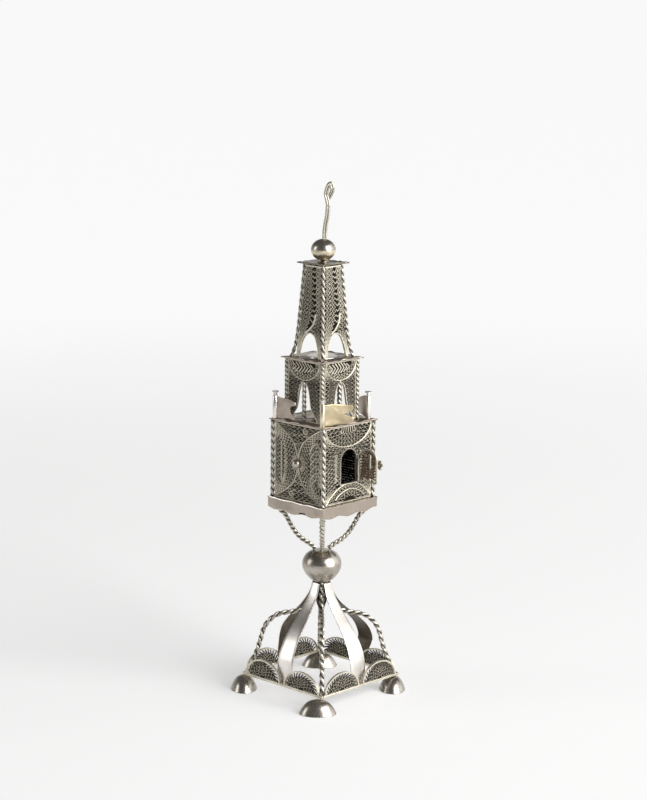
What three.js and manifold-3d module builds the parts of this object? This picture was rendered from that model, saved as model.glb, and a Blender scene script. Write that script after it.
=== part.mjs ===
// Silver filigree spice tower on an arched base, in millimetres, +Z up.
// The origin is on the table under the middle of the base. The door side faces -Y.
import * as THREE from "three";
import { mergeVertices } from "three/addons/utils/BufferGeometryUtils.js";
import Module from "manifold-3d";

const wasm = await Module();
wasm.setup();

// Gaps between pieces: solder seats, turning pieces and face-to-face joints.
const seat = 0.2;
const running = 0.08;
const roundFacets = 10;

// Feet: oval domes, longer across the diagonal of the base.
const footLong = 7.9;
const footShort = 5.7;
const footHeight = 6.2;
const footWall = 0.7;

// The feet are soldered on by eye: how far each one stands from its corner, outwards and to the left.
const footShift = { front_left: [0, -1.7], front_right: [-2.2, 0], back_right: [0, 0], back_left: [0, 0] };

// Base frame: four flat strips, each with two half-round lunettes standing on it.
const baseHalf = 23.5;
const railThick = 1;
const railHeight = 1.1;
const lunetteHeight = 8;
const lunetteGap = 2.4;
const cornerClear = 2.1;
const lunetteRim = 0.9;
const lunetteInset = 0.3;

// Flat straps that carry the knop, from the middle of each side.
const strapThick = 0.6;
const strapTopWidth = 4.4;
const strapFootWidth = 8.6;

// The straps were bent by eye. The right one bulges out and stands outside its rail.
const strapBulge = { front: 0, right: 5, back: 1.7, left: 0 };
const strapBulgeStart = { front: 0, right: 0, back: 0.22, left: 0 };
const strapOutside = { front: 0, right: 2, back: 0, left: 0 };

// Twisted wires: ribs of the base, brackets under the box, and corner wires of the three storeys.
const ribRadius = 1.15;
const ribPitch = 6.6;
const ribBundle = 1.8;
const bracketRadius = 1.1;
const bracketPitch = 4.4;
const bracketInset = 2.4;
const boxWireRadius = 0.9;
const boxWirePitch = 4;
const midWireRadius = 0.85;
const midWirePitch = 2.8;
const spireWireRadius = 0.85;
const spireWirePitch = 6;
const mullionRadius = 0.75;
const mullionPitch = 4.3;
const stepsPerTurn = 5;
const strandShare = 0.52;

// Knop: two half shells joined at the seam.
const knopLowHeight = 7.7;
const knopHighHeight = 6.2;
const knopSeam = 56;
const knopBottom = knopSeam - knopLowHeight;
const knopTop = knopSeam + knopHighHeight;
const knopRadius = 8.6;
const knopBottomFlat = 3.4;
const knopTopFlat = 3.6;
const shellWall = 0.6;

// Tray under the box: a floor sheet and a skirt with a wavy lower edge.
const trayHalf = 16.6;
const skirtThick = 0.5;
const skirtHeight = 5.4;
const skirtWave = 0.65;
const floorTop = 85.7;
const floorThick = 0.7;

// Box storey.
const boxHalf = 16;
const boxHeight = 33;
const panelThick = 0.9;
const arcWidth = 0.7;
const arcProud = 0.35;
const bossRadius = 2;

// The panels' openwork as a plain grid of openings, clear of the frame.
const openingSide = 1.2;
const openingsAcross = 9;
const openingsUp = 11;
const openingMargin = 2.2;
const doorHalf = 4.7;
const doorSill = 8.2;
const doorSpring = 18.1;
const topLunetteDrop = 8.4;
const lowLunetteRise = 6.6;

// Door: leaf, knuckles, pin and turning latch. The door stands open, as it is used.
const doorOpenDegrees = 94;
const leafThick = 0.6;
const leafLap = 0.1;
const leafGap = 0.5;
const pinRadius = 0.35;
const knuckleRadius = 0.7;
const knuckleLength = 2.6;
const latchReach = 7.8;
const latchHeight = 15.7;
const latchShaft = 0.5;
const latchKnobRadius = 2.35;
const latchKnobThick = 1;
const latchKnobStand = 3.7;
const tongueLength = 4.9;
const tongueWidth = 1.2;
const tongueThick = 0.5;

// Everything above the box sits a little off the middle.
const upperShift = [-0.5, 0.5];

// Thin plates that close the storeys, with drawn-out corners.
const plateThick = 0.6;
const roofTip = 16.6;
const roofSide = 15.6;
const midPlateTip = 12.6;
const midPlateSide = 11.7;
const topPlateTip = 7.9;
const topPlateSide = 6.9;
const plateWave = 0.9;
const embossRadius = 6.2;
const embossHeight = 0.5;

// Flags that turn on posts at the roof's corners.
const postPlace = 13.9;
const postRadius = 0.5;
const postHeight = 11.8;
const postCapRadius = 1.45;
const postCapThick = 0.6;
const sleeveRadius = 1.15;
const flagLength = 13.8;
const flagTop = 9.7;
const flagFoot = 0.5;
const flagThick = 0.4;
const flagNotch = 3.4;
const flagNotchDepth = 4;
const flagDroop = 0.8;
const flagBow = 0.7;
const flagRestDegrees = { front_left: -26, front_right: 63, back_right: 45, back_left: 263 };

// Belfry storey with flared windows, and the spire above it.
const midHalf = 11.4;
const midHeight = 25.6;
const midPanelThick = 0.8;
const midLunetteDrop = 8;
const windowHalf = 3.1;
const windowTop = 17;
const windowFootHalf = 7.9;
const spireFootHalf = 8.91;
const spireTopHalf = 6.25;
const spireHeight = 39.2;
const spireFlare = 1.2;
const spireFlareHeight = 10;
const spirePanelThick = 0.8;
const spireArchHalf = 6.2;
const spireArchHeight = 10.2;

// Ball and hanging wire at the top.
const ballRadius = 5.3;
const ballHalfHeight = 4.5;
const ballWall = 0.5;
const collarRadius = 2.2;
const collarHeight = 0.4;
const finialShaft = 0.85;
const finialLoop = 0.5;

const silver = material(0xb9b2a8, 0.34);
const filigreeSilver = material(0x9a9284, 0.45);
const giltSilver = material(0xb7a67e, 0.32);

const tower = new THREE.Group();
const upper = new THREE.Group();
upper.position.set(...upperShift, 0);
tower.add(upper);
const corners = { back_right: 45, back_left: 135, front_left: 225, front_right: 315 };
const sides = { front: 0, right: 90, back: 180, left: 270 };

function material(color, roughness) {
  return new THREE.MeshStandardMaterial({ color, roughness, metalness: 1 });
}

function radians(degrees) {
  return THREE.MathUtils.degToRad(degrees);
}

function range(count) {
  return Array.from({ length: count }, (_, i) => i);
}

// Solids for joining and cutting, from closed three.js geometries.
function solidOf(geometry) {
  const bare = geometry.index ? geometry.toNonIndexed() : geometry.clone();
  bare.deleteAttribute("normal");
  bare.deleteAttribute("uv");
  const merged = mergeVertices(bare, 1e-4);
  return new wasm.Manifold(
    new wasm.Mesh({
      numProp: 3,
      vertProperties: merged.attributes.position.array,
      triVerts: new Uint32Array(merged.index.array),
    }),
  );
}

function geometryOf(solid) {
  const mesh = solid.getMesh();
  const geometry = new THREE.BufferGeometry();
  geometry.setAttribute("position", new THREE.BufferAttribute(new Float32Array(mesh.vertProperties), 3));
  geometry.setIndex(new THREE.BufferAttribute(new Uint32Array(mesh.triVerts), 1));
  return geometry;
}

function join(geometries) {
  const solids = geometries.map(solidOf);
  return geometryOf(solids.reduce((all, solid) => all.add(solid)));
}

function cut(geometry, tools) {
  return geometryOf(tools.reduce((left, tool) => left.subtract(solidOf(tool)), solidOf(geometry)));
}

function addMesh(name, geometry, look, place = tower) {
  const mesh = new THREE.Mesh(geometry, look);
  mesh.name = name;
  place.add(mesh);
  return mesh;
}

function turned(degrees, place = tower) {
  const group = new THREE.Group();
  group.rotation.z = radians(degrees);
  place.add(group);
  return group;
}

function outline(points) {
  return new THREE.Shape(points.map(([x, y]) => new THREE.Vector2(x, y)));
}

function plate(shape, depth, curveSegments = 12) {
  return new THREE.ExtrudeGeometry(shape, { depth, bevelEnabled: false, curveSegments });
}

function cylinder(radius, bottom, top, facets = roundFacets) {
  return new THREE.CylinderGeometry(radius, radius, top - bottom, facets)
    .rotateX(Math.PI / 2)
    .translate(0, 0, (bottom + top) / 2);
}

// A hole that a round piece of the given radius turns in, facets and all.
function bore(radius, bottom, top) {
  return cylinder((radius + running) / Math.cos(Math.PI / roundFacets), bottom, top);
}

function box(x0, x1, y0, y1, z0, z1) {
  const block = new THREE.BoxGeometry(x1 - x0, y1 - y0, z1 - z0);
  return block.translate((x0 + x1) / 2, (y0 + y1) / 2, (z0 + z1) / 2);
}

// A lathe about +Z from a closed (radius, height) profile, drawn counterclockwise.
function lathe(profile, facets = 18) {
  const points = [...profile, profile[0]].map(([r, z]) => new THREE.Vector2(r, z));
  return new THREE.LatheGeometry(points, facets).rotateX(Math.PI / 2);
}

// Points spaced evenly along a smooth curve through (x, z) pairs.
function smoothPath(pairs, count) {
  return new THREE.SplineCurve(pairs.map(([x, z]) => new THREE.Vector2(x, z))).getSpacedPoints(count);
}

function pathLength(pairs) {
  return new THREE.SplineCurve(pairs.map(([x, z]) => new THREE.Vector2(x, z))).getLength();
}

// A bar swept along a path in the XZ plane.
// The section is a list of (in-plane, across) offsets for each step.
function sweep(path, sectionAt) {
  const last = path.length - 1;
  const rings = path.map((point, i) => {
    const before = path[Math.max(i - 1, 0)];
    const after = path[Math.min(i + 1, last)];
    const along = after.clone().sub(before).normalize();
    return sectionAt(i / last, i).map(([a, b]) => [point.x - along.y * a, b, point.y + along.x * a]);
  });
  const sidesCount = rings[0].length;
  const positions = rings.flat(2);
  const faces = [];
  range(last).forEach((i) => {
    range(sidesCount).forEach((j) => {
      const a = i * sidesCount + j;
      const b = i * sidesCount + ((j + 1) % sidesCount);
      faces.push(a, b, a + sidesCount, b, b + sidesCount, a + sidesCount);
    });
  });
  range(sidesCount - 2).forEach((j) => {
    const end = last * sidesCount;
    faces.push(0, j + 2, j + 1, end, end + j + 1, end + j + 2);
  });
  const geometry = new THREE.BufferGeometry();
  geometry.setAttribute("position", new THREE.Float32BufferAttribute(positions, 3));
  geometry.setIndex(faces);
  return solidOf(geometry).volume() > 0 ? geometry : flipped(geometry);
}

function flipped(geometry) {
  const index = geometry.index.array;
  range(index.length / 3).forEach((i) => {
    [index[3 * i + 1], index[3 * i + 2]] = [index[3 * i + 2], index[3 * i + 1]];
  });
  return geometry;
}

// A twisted wire: a flat bar turned about its own line, with the outer size of two round strands.
function twistedWire(pairs, radius, pitch) {
  const turns = pathLength(pairs) / pitch;
  const count = Math.ceil(turns * stepsPerTurn);
  const half = radius * Math.cos(Math.asin(strandShare));
  const thin = radius * strandShare;
  const flat = [
    [half, thin],
    [-half, thin],
    [-half, -thin],
    [half, -thin],
  ];
  return sweep(smoothPath(pairs, count), (share) => {
    const angle = 2 * Math.PI * turns * share;
    return flat.map(([a, b]) => [
      a * Math.cos(angle) - b * Math.sin(angle),
      a * Math.sin(angle) + b * Math.cos(angle),
    ]);
  });
}

function roundBar(pairs, count, radiusAt, facets = 6) {
  return sweep(smoothPath(pairs, count), (share) =>
    range(facets).map((k) => {
      const angle = (2 * Math.PI * k) / facets;
      return [radiusAt(share) * Math.cos(angle), radiusAt(share) * Math.sin(angle)];
    }),
  );
}

// A half ellipse as (x, y) pairs, from one foot over the crown to the other.
function halfEllipse(centre, foot, halfWidth, rise, count = 10) {
  return range(count + 1).map((k) => {
    const angle = (Math.PI * k) / count;
    return [centre + halfWidth * Math.cos(angle), foot + rise * Math.sin(angle)];
  });
}

// Base: feet, rails with lunettes, straps and twisted ribs.
const railBottom = footHeight + seat;
const railTop = railBottom + railHeight;
const footPlace = baseHalf * Math.SQRT2;

function makeFoot(corner, degrees) {
  const steps = 4;
  const dome = (radius, height) =>
    range(steps + 1).map((k) => {
      const angle = (Math.PI / 2) * (k / steps);
      return [radius * Math.cos(angle), height * Math.sin(angle)];
    });
  const inner = dome(footShort - footWall, footHeight - footWall).reverse();
  const shell = lathe([...dome(footShort, footHeight), ...inner], 16);
  const [outwards, sideways] = footShift[corner];
  shell.scale(1, footLong / footShort, 1).translate(footPlace + outwards, sideways, 0);
  addMesh(`foot_${corner}`, shell, silver, turned(degrees));
}

function lunetteCentres() {
  const reach = baseHalf - cornerClear;
  const middle = (lunetteGap / 2 + reach) / 2;
  return { middle, half: (reach - lunetteGap / 2) / 2 };
}

function makeRail(name, degrees, halfLength) {
  const { middle, half } = lunetteCentres();
  const strip = plate(outline([
    [-halfLength, 0],
    [halfLength, 0],
    [halfLength, railHeight],
    [-halfLength, railHeight],
  ]), railThick);
  const pieces = [-middle, middle].flatMap((centre) => {
    const rim = halfEllipse(centre, railHeight, half, lunetteHeight);
    const web = halfEllipse(centre, railHeight, half - lunetteRim, lunetteHeight - lunetteRim);
    const band = outline([...rim, ...web.reverse()]);
    const sheet = plate(outline([[centre + half - lunetteInset, railHeight / 2],
      ...halfEllipse(centre, railHeight, half - lunetteInset, lunetteHeight - lunetteInset),
      [centre - half + lunetteInset, railHeight / 2]]), railThick - 2 * lunetteInset);
    return [plate(band, railThick), sheet.translate(0, 0, lunetteInset)];
  });
  const rail = join([strip, ...pieces])
    .rotateX(Math.PI / 2)
    .translate(0, -baseHalf + railThick / 2, railBottom);
  addMesh(name, rail, filigreeSilver, turned(degrees));
}

function archHeight(share) {
  return THREE.MathUtils.lerp(railBottom + seat, knopBottom - seat, share);
}

// A strap's reach at a share of its height: the common shape, then its own bulge and foot.
function strapReach(side, reach, share) {
  const foot = baseHalf - railThick / 2 - seat - strapThick / 2;
  const start = strapBulgeStart[side];
  const rise = THREE.MathUtils.smoothstep(share, start, start + 0.3);
  const fall = 1 - THREE.MathUtils.smoothstep(share, 0.45, 0.85);
  const outside = 1 - THREE.MathUtils.smoothstep(share, 0.3, 0.6);
  return foot * reach + strapBulge[side] * rise * fall + strapOutside[side] * outside;
}

function makeStrap(side, degrees) {
  const shape = [
    [0.165, 1],
    [0.19, 0.95],
    [0.26, 0.875],
    [0.4, 0.76],
    [0.56, 0.652],
    [0.71, 0.554],
    [0.84, 0.452],
    [0.93, 0.35],
    [0.985, 0.248],
    [1, 0.142],
    [1, 0],
  ];
  const knots = shape.map(([reach, share]) => [strapReach(side, reach, share), archHeight(share)]);
  const path = smoothPath(knots, 22);
  const half = strapThick / 2;
  const strap = sweep(path, (share) => {
    const wide = THREE.MathUtils.lerp(strapTopWidth, strapFootWidth, Math.min(1, share * 1.45)) / 2;
    return [
      [half, wide],
      [-half, wide],
      [-half, -wide],
      [half, -wide],
    ];
  });
  addMesh(`base_strap_${side}`, strap, silver, turned(degrees - 90));
}

function makeRib(name, degrees) {
  const foot = footPlace - ribRadius * 1.2;
  const shape = [
    [0.1, 0.81],
    [0.2, 0.71],
    [0.38, 0.676],
    [0.55, 0.655],
    [0.65, 0.615],
    [0.735, 0.55],
    [0.79, 0.463],
    [0.825, 0.36],
    [0.865, 0.258],
    [0.935, 0.13],
  ];
  const path = [
    [ribBundle, knopBottom - seat],
    ...shape.map(([reach, share]) => [foot * reach, archHeight(share)]),
    [foot, railTop + seat],
  ];
  addMesh(name, twistedWire(path, ribRadius, ribPitch), silver, turned(degrees));
}

Object.entries(corners).forEach(([corner, degrees]) => {
  makeFoot(corner, degrees);
  makeRib(`base_rib_${corner}`, degrees);
});
Object.entries(sides).forEach(([side, degrees]) => {
  const short = side === "front" || side === "back";
  const railHalf = short ? baseHalf - railThick / 2 - seat : baseHalf + railThick / 2;
  makeRail(`base_rail_${side}`, degrees, railHalf);
  makeStrap(side, degrees);
});

// Knop: both shells stand upright at the seam. The greater the power, the smaller the flat looks.
function knopProfile(z0, flat, z1, power) {
  const steps = 6;
  return range(steps + 1).map((k) => {
    const angle = (Math.PI / 2) * (k / steps);
    const spread = Math.sin(angle) ** power;
    return [flat + (knopRadius - flat) * spread, z0 + (z1 - z0) * (1 - Math.cos(angle))];
  });
}

function innerSkin(profile, towards) {
  return profile.map(([r, z]) => [Math.max(r - shellWall, 0), z + towards * shellWall]);
}

function makeKnop() {
  const low = knopProfile(knopBottom, knopBottomFlat, knopSeam, 2);
  const high = knopProfile(knopTop, knopTopFlat, knopSeam + seat, 1.35).reverse();
  const lowInner = innerSkin(low, 1).slice(0, -1);
  const highInner = innerSkin(high, -1).slice(1);
  const rim = knopRadius - shellWall;
  addMesh("knop_lower", lathe([[0, knopBottom], ...low, [rim, knopSeam], ...lowInner.reverse(),
    [0, knopBottom + shellWall]]), silver);
  addMesh("knop_upper", lathe([...high, [0, knopTop], [0, knopTop - shellWall], ...highInner.reverse(),
    [rim, knopSeam + seat]]), silver);
}
makeKnop();

// Brackets: four twisted wires from the knop up to the corners of the tray.
const floorBottom = floorTop - floorThick;
const bracketPath = [
  [0.15, 0],
  [0.25, 0.08],
  [0.4, 0.17],
  [0.53, 0.28],
  [0.63, 0.41],
  [0.715, 0.55],
  [0.79, 0.675],
  [0.9, 0.775],
  [0.98, 0.88],
  [1, 1],
].map(([reach, share]) => [
  (trayHalf - bracketInset) * Math.SQRT2 * reach,
  THREE.MathUtils.lerp(knopTop + seat + bracketRadius * 0.55, floorBottom - seat, share),
]);
Object.entries(corners).forEach(([corner, degrees]) => {
  const bracket = twistedWire(bracketPath, bracketRadius, bracketPitch);
  addMesh(`bracket_${corner}`, bracket, silver, turned(degrees));
});

// Tray: a floor sheet inside a skirt with a wavy lower edge.
function makeTray() {
  const floorHalf = trayHalf - skirtThick / 2;
  const floor = box(-floorHalf, floorHalf, -floorHalf, floorHalf, floorBottom, floorTop);
  const waves = 2;
  const steps = 24;
  const lower = range(steps + 1).map((k) => {
    const share = k / steps;
    const lobe = Math.cos(2 * Math.PI * waves * share);
    return [trayHalf * (2 * share - 1), skirtWave * (1 - lobe)];
  });
  const strip = plate(outline([...lower, [trayHalf, skirtHeight], [-trayHalf, skirtHeight]]), skirtThick);
  const strips = Object.values(sides).map((degrees) =>
    strip
      .clone()
      .rotateX(Math.PI / 2)
      .translate(0, -trayHalf + skirtThick, floorTop - skirtHeight)
      .rotateZ(radians(degrees)),
  );
  addMesh("tray", join([floor, ...strips]), silver);
}
makeTray();

// A band that follows a curve in a panel's own plane, standing proud of its outer face.
function archBand(curve, width, depth, z) {
  const points = curve.map(([x, y]) => new THREE.Vector2(x, y));
  const edge = (side) =>
    points.map((point, i) => {
      const before = points[Math.max(i - 1, 0)];
      const after = points[Math.min(i + 1, points.length - 1)];
      const along = after.clone().sub(before).normalize();
      return [point.x - (side * along.y * width) / 2, point.y + (side * along.x * width) / 2];
    });
  return plate(outline([...edge(1), ...edge(-1).reverse()]), depth).translate(0, 0, z);
}

// Puts a panel drawn in X (across) and Y (up), with Z outwards, on a side of the tower.
function standPanel(name, geometry, degrees, innerFace, bottom, place = tower) {
  const standing = geometry.rotateX(Math.PI / 2).translate(0, -innerFace, bottom);
  addMesh(name, standing, filigreeSilver, turned(degrees, place));
}

function cornerWire(name, degrees, path, radius, pitch, place = tower) {
  const diagonal = path.map(([half, z]) => [half * Math.SQRT2, z]);
  addMesh(name, twistedWire(diagonal, radius, pitch), silver, turned(degrees, place));
}

function uprightPath(half, bottom, top) {
  return [
    [half, bottom],
    [half, (bottom + top) / 2],
    [half, top],
  ];
}

// Box: corner wires, four filigree panels, and the door in the front one.
const boxBottom = floorTop + seat;
const boxTop = boxBottom + boxHeight;
const boxWirePlace = boxHalf - boxWireRadius;
const panelHalf = boxWirePlace - boxWireRadius - seat;
const panelInner = boxWirePlace - panelThick;
const panelOuter = panelInner + panelThick;

function doorOutline(half, sill, spring) {
  const arch = halfEllipse(0, spring, half, half);
  return outline([[-half, sill], [half, sill], ...arch]);
}

function panelSheet(half, height, thick) {
  return plate(outline([[-half, 0], [half, 0], [half, height], [-half, height]]), thick);
}

function hangingCurve(half, height, drop) {
  return halfEllipse(0, 0, half, drop).map(([x, y]) => [x, height - y]);
}

// Square openings spread evenly over a panel of the box, where a test lets them be.
function openworkTools(isFree) {
  const acrossStep = (2 * (panelHalf - openingMargin)) / (openingsAcross - 1);
  const upStep = (boxHeight - 2 * openingMargin) / (openingsUp - 1);
  const half = openingSide / 2;
  return range(openingsAcross).flatMap((i) =>
    range(openingsUp)
      .map((j) => [i * acrossStep - panelHalf + openingMargin, openingMargin + j * upStep])
      .filter(([x, y]) => isFree(x, y))
      .map(([x, y]) => box(x - half, x + half, y - half, y + half, -1, panelThick + 1)),
  );
}

function rosettePanel() {
  const half = panelHalf - arcWidth / 2;
  const middle = boxHeight / 2;
  const side = halfEllipse(0, 0, middle - arcWidth / 2, half - arcWidth / 2);
  const arcs = [
    side.map(([a, b]) => [-half + b, middle + a]),
    side.map(([a, b]) => [half - b, middle + a]),
  ];
  const boss = new THREE.SphereGeometry(bossRadius, 8, 6)
    .translate(0, middle, panelThick + bossRadius * 0.4);
  const clearOfBoss = (x, y) => Math.hypot(x, y - middle) > bossRadius + openingSide;
  return join([
    cut(panelSheet(panelHalf, boxHeight, panelThick), openworkTools(clearOfBoss)),
    ...arcs.map((arc) => archBand(arc, arcWidth, panelThick / 2 + arcProud, panelThick / 2)),
    boss,
  ]);
}

// The fixed knuckles are soldered to the front panel beside the opening.
const hingeX = doorHalf + knuckleRadius - 0.15;
const hingeOut = leafGap + leafThick / 2;
const leafBottom = doorSill + leafLap;
const knuckleFoot = doorSill + 0.3;
const knuckleHead = doorSpring - 0.1;
const leafKnuckleFoot = knuckleFoot + knuckleLength + running;
const leafKnuckleHead = knuckleHead - knuckleLength - running;

function knuckle(foot, head, x, out) {
  return cylinder(knuckleRadius, foot, head).rotateX(-Math.PI / 2).translate(x, 0, out);
}

function pinBore(x, out) {
  return bore(pinRadius, -1, boxHeight).rotateX(-Math.PI / 2).translate(x, 0, out);
}

function doorPanel() {
  const arcs = [hangingCurve(panelHalf - arcWidth / 2, boxHeight - arcWidth / 2, topLunetteDrop),
    halfEllipse(0, arcWidth / 2, panelHalf - arcWidth / 2, lowLunetteRise)];
  const opening = plate(doorOutline(doorHalf, doorSill, doorSpring), panelThick + 2).translate(0, 0, -1);
  const rim = doorHalf + knuckleRadius + 2 * openingSide;
  const clearOfDoor = (x, y) => Math.abs(x) > rim || y < doorSill - 2 || y > doorSpring + rim;
  const openings = [opening, ...openworkTools(clearOfDoor)];
  const sheet = cut(panelSheet(panelHalf, boxHeight, panelThick), openings);
  const out = panelThick + hingeOut;
  const knuckles = [
    [knuckleFoot, knuckleFoot + knuckleLength],
    [knuckleHead - knuckleLength, knuckleHead],
  ].flatMap(([foot, head]) => [
    knuckle(foot, head, hingeX, out),
    box(hingeX, hingeX + knuckleRadius, foot, head, panelThick / 2, out),
  ]);
  const bands = arcs.map((arc) => archBand(arc, arcWidth, panelThick / 2 + arcProud, panelThick / 2));
  return cut(join([sheet, ...bands, ...knuckles]), [pinBore(hingeX, out)]);
}

Object.entries(corners).forEach(([corner, degrees]) => {
  const path = uprightPath(boxWirePlace, boxBottom, boxTop);
  cornerWire(`box_wire_${corner}`, degrees, path, boxWireRadius, boxWirePitch);
});
Object.entries(sides).forEach(([side, degrees]) => {
  const panel = side === "front" ? doorPanel() : rosettePanel();
  standPanel(`box_panel_${side}`, panel, degrees, panelInner, boxBottom);
});

// The door is drawn shut, then turned open about its pin.
function makeDoor() {
  const hinge = new THREE.Group();
  hinge.position.set(hingeX, -panelOuter - hingeOut, boxBottom);
  hinge.rotation.z = radians(doorOpenDegrees);
  tower.add(hinge);
  const free = hingeX + doorHalf + leafLap;
  const archHalf = doorHalf;
  const arch = halfEllipse(-hingeX, doorSpring, archHalf + leafLap, archHalf + leafLap)
    .filter(([x]) => x < -knuckleRadius - seat);
  const leafShape = outline([[-free, leafBottom], [-knuckleRadius - seat, leafBottom], ...arch]);
  const leaf = plate(leafShape, leafThick).translate(0, 0, -leafThick / 2);
  const inner = -knuckleRadius - 2 * seat;
  const tab = box(inner, 0, leafKnuckleFoot, leafKnuckleHead, -leafThick / 2, leafThick / 2);
  const knuckleSolid = knuckle(leafKnuckleFoot, leafKnuckleHead, 0, 0);
  const shaftHole = bore(latchShaft, -leafThick, leafThick).translate(-latchReach, latchHeight, 0);
  const whole = cut(join([leaf, tab, knuckleSolid]), [pinBore(0, 0), shaftHole]);
  addMesh("door_leaf", whole.rotateX(Math.PI / 2), filigreeSilver, hinge);
  hinge.add(latch());
}

// Latch: a rosette knob outside, its shaft through the leaf, and a tongue inside that points up when free.
function latch() {
  const group = new THREE.Group();
  group.position.set(-latchReach, 0, latchHeight);
  group.rotation.x = Math.PI / 2;
  const tongueNear = -(leafThick / 2 + leafGap + panelThick + seat);
  const knobNear = leafThick / 2 + latchKnobStand;
  const shaft = cylinder(latchShaft, tongueNear - tongueThick, knobNear);
  const collar = cylinder(latchShaft * 1.8, leafThick / 2 + running, leafThick / 2 + running + 0.5);
  const petals = outline(range(24).map((k) => {
    const angle = (k * Math.PI) / 12;
    const reach = latchKnobRadius * (0.86 + 0.14 * Math.cos(6 * angle));
    return [reach * Math.cos(angle), reach * Math.sin(angle)];
  }));
  const rosette = plate(petals, latchKnobThick).translate(0, 0, knobNear - latchKnobThick / 2);
  const heart = new THREE.SphereGeometry(latchKnobRadius * 0.45, 8, 6)
    .translate(0, 0, knobNear + latchKnobThick / 2);
  const half = tongueWidth / 2;
  const tongue = box(-half, half, -half, tongueLength, tongueNear - tongueThick, tongueNear);
  addMesh("door_latch", join([shaft, collar, rosette, heart, tongue]), giltSilver, group);
  return group;
}

function makeHingePin() {
  const head = 0.4;
  const pin = join([
    cylinder(pinRadius, knuckleFoot - head, knuckleHead + head),
    cylinder(pinRadius + 0.2, knuckleHead + running, knuckleHead + head),
    cylinder(pinRadius + 0.2, knuckleFoot - head, knuckleFoot - running),
  ]);
  addMesh("door_pin", pin.translate(hingeX, -panelOuter - hingeOut, boxBottom), silver);
}
makeDoor();
makeHingePin();

// A square plate with pointed corners. Each side has two shallow lobes with a cusp between them.
function pointedPlate(tip, side, height) {
  const steps = 16;
  const lobeEnd = 0.77;
  const points = Object.values(sides).flatMap((degrees) =>
    range(steps).map((k) => {
      const t = (2 * k) / steps - 1;
      const lobe = Math.abs(t) < lobeEnd ? Math.abs(Math.sin((Math.PI * t) / lobeEnd)) : 0;
      const out = side + (tip - side) * Math.abs(t) ** 5 + (side / roofSide) * plateWave * (lobe - 0.6);
      const point = new THREE.Vector2(t * tip, -out).rotateAround(new THREE.Vector2(), radians(degrees));
      return [point.x, point.y];
    }),
  );
  return plate(outline(points), height);
}

// Roof of the box: the plate and its four flag posts, each with a cap that keeps the flag on.
const roofBottom = boxTop + seat;
const roofTop = roofBottom + plateThick;

function makeRoof() {
  const head = roofTop + postHeight;
  const posts = Object.values(corners).flatMap((degrees) =>
    [
      cylinder(postRadius, roofBottom + plateThick / 2, head),
      cylinder(postCapRadius, head - postCapThick, head),
    ].map((piece) =>
      piece
        .translate(postPlace * Math.SQRT2, 0, 0)
        .rotateZ(radians(degrees))
        .translate(...upperShift, 0),
    ),
  );
  const sheet = pointedPlate(roofTip, roofSide, plateThick).translate(0, 0, roofBottom);
  addMesh("roof_plate", join([sheet, ...posts]), silver);
}
makeRoof();

// Flags: a rolled sleeve and a swallow-tailed leaf, bowed a little in plan.
function flagLeaf() {
  const columns = 7;
  const start = sleeveRadius * 0.8;
  const half = flagThick / 2;
  const path = range(columns + 1).map((k) => {
    const share = k / columns;
    return new THREE.Vector2(start + (flagLength - start) * share, -flagBow * Math.sin(Math.PI * share));
  });
  const leaf = sweep(path, (share) => {
    const foot = flagFoot + flagDroop * share ** 2;
    const head = flagTop - flagDroop * share;
    return [
      [half, foot],
      [-half, foot],
      [-half, head],
      [half, head],
    ];
  });
  return leaf.rotateX(Math.PI / 2);
}

function flagGeometry() {
  const middle = (flagTop + flagFoot) / 2;
  const notch = plate(outline([
    [flagLength - flagNotchDepth, middle],
    [flagLength + 1, middle - flagNotch / 2],
    [flagLength + 1, middle + flagNotch / 2],
  ]), 4 * flagBow + 2).rotateX(Math.PI / 2).translate(0, 2 * flagBow + 1, 0);
  const sleeve = cylinder(sleeveRadius, running, flagTop);
  return cut(join([flagLeaf(), sleeve]), [notch, bore(postRadius, -1, flagTop + 1)]);
}

Object.entries(corners).forEach(([corner, degrees]) => {
  const look = corner === "front_left" ? giltSilver : silver;
  const flag = addMesh(`flag_${corner}`, flagGeometry(), look, upper);
  const angle = radians(degrees);
  const reach = postPlace * Math.SQRT2;
  flag.position.set(reach * Math.cos(angle), reach * Math.sin(angle), roofTop);
  flag.rotation.z = radians(flagRestDegrees[corner]);
});

// Belfry: corner wires, and panels with flared windows, each divided by a twisted mullion.
const midBottom = roofTop + seat;
const midTop = midBottom + midHeight;
const midWirePlace = midHalf - midWireRadius;
const midPanelHalf = midWirePlace - midWireRadius - seat;
const midPanelInner = midWirePlace - midPanelThick / 2;

function flaredWindow() {
  const right = [
    [windowFootHalf, -1],
    [windowFootHalf, 0.6],
    [windowFootHalf * 0.93, 1.8],
    [windowFootHalf * 0.72, 3.4],
    [windowHalf + 1.2, 5.6],
    [windowHalf + 0.5, 8.6],
    [windowHalf, 12],
    [windowHalf * 0.75, windowTop - 2],
    [windowHalf * 0.35, windowTop - 0.5],
  ];
  const left = right.map(([x, y]) => [-x, y]).reverse();
  return outline([...right, ...left]);
}

function midPanel() {
  const lunette = hangingCurve(midPanelHalf - arcWidth / 2, midHeight - arcWidth / 2, midLunetteDrop);
  const opening = plate(flaredWindow(), midPanelThick + 2).translate(0, 0, -1);
  const sheet = cut(panelSheet(midPanelHalf, midHeight, midPanelThick), [opening]);
  const upright = [[0, 0], [0, windowTop / 2], [0, windowTop]];
  const mullion = twistedWire(upright, mullionRadius, mullionPitch)
    .rotateX(-Math.PI / 2)
    .translate(0, 0, midPanelThick / 2);
  const band = archBand(lunette, arcWidth, midPanelThick / 2 + arcProud, midPanelThick / 2);
  return join([sheet, band, mullion]);
}

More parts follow.
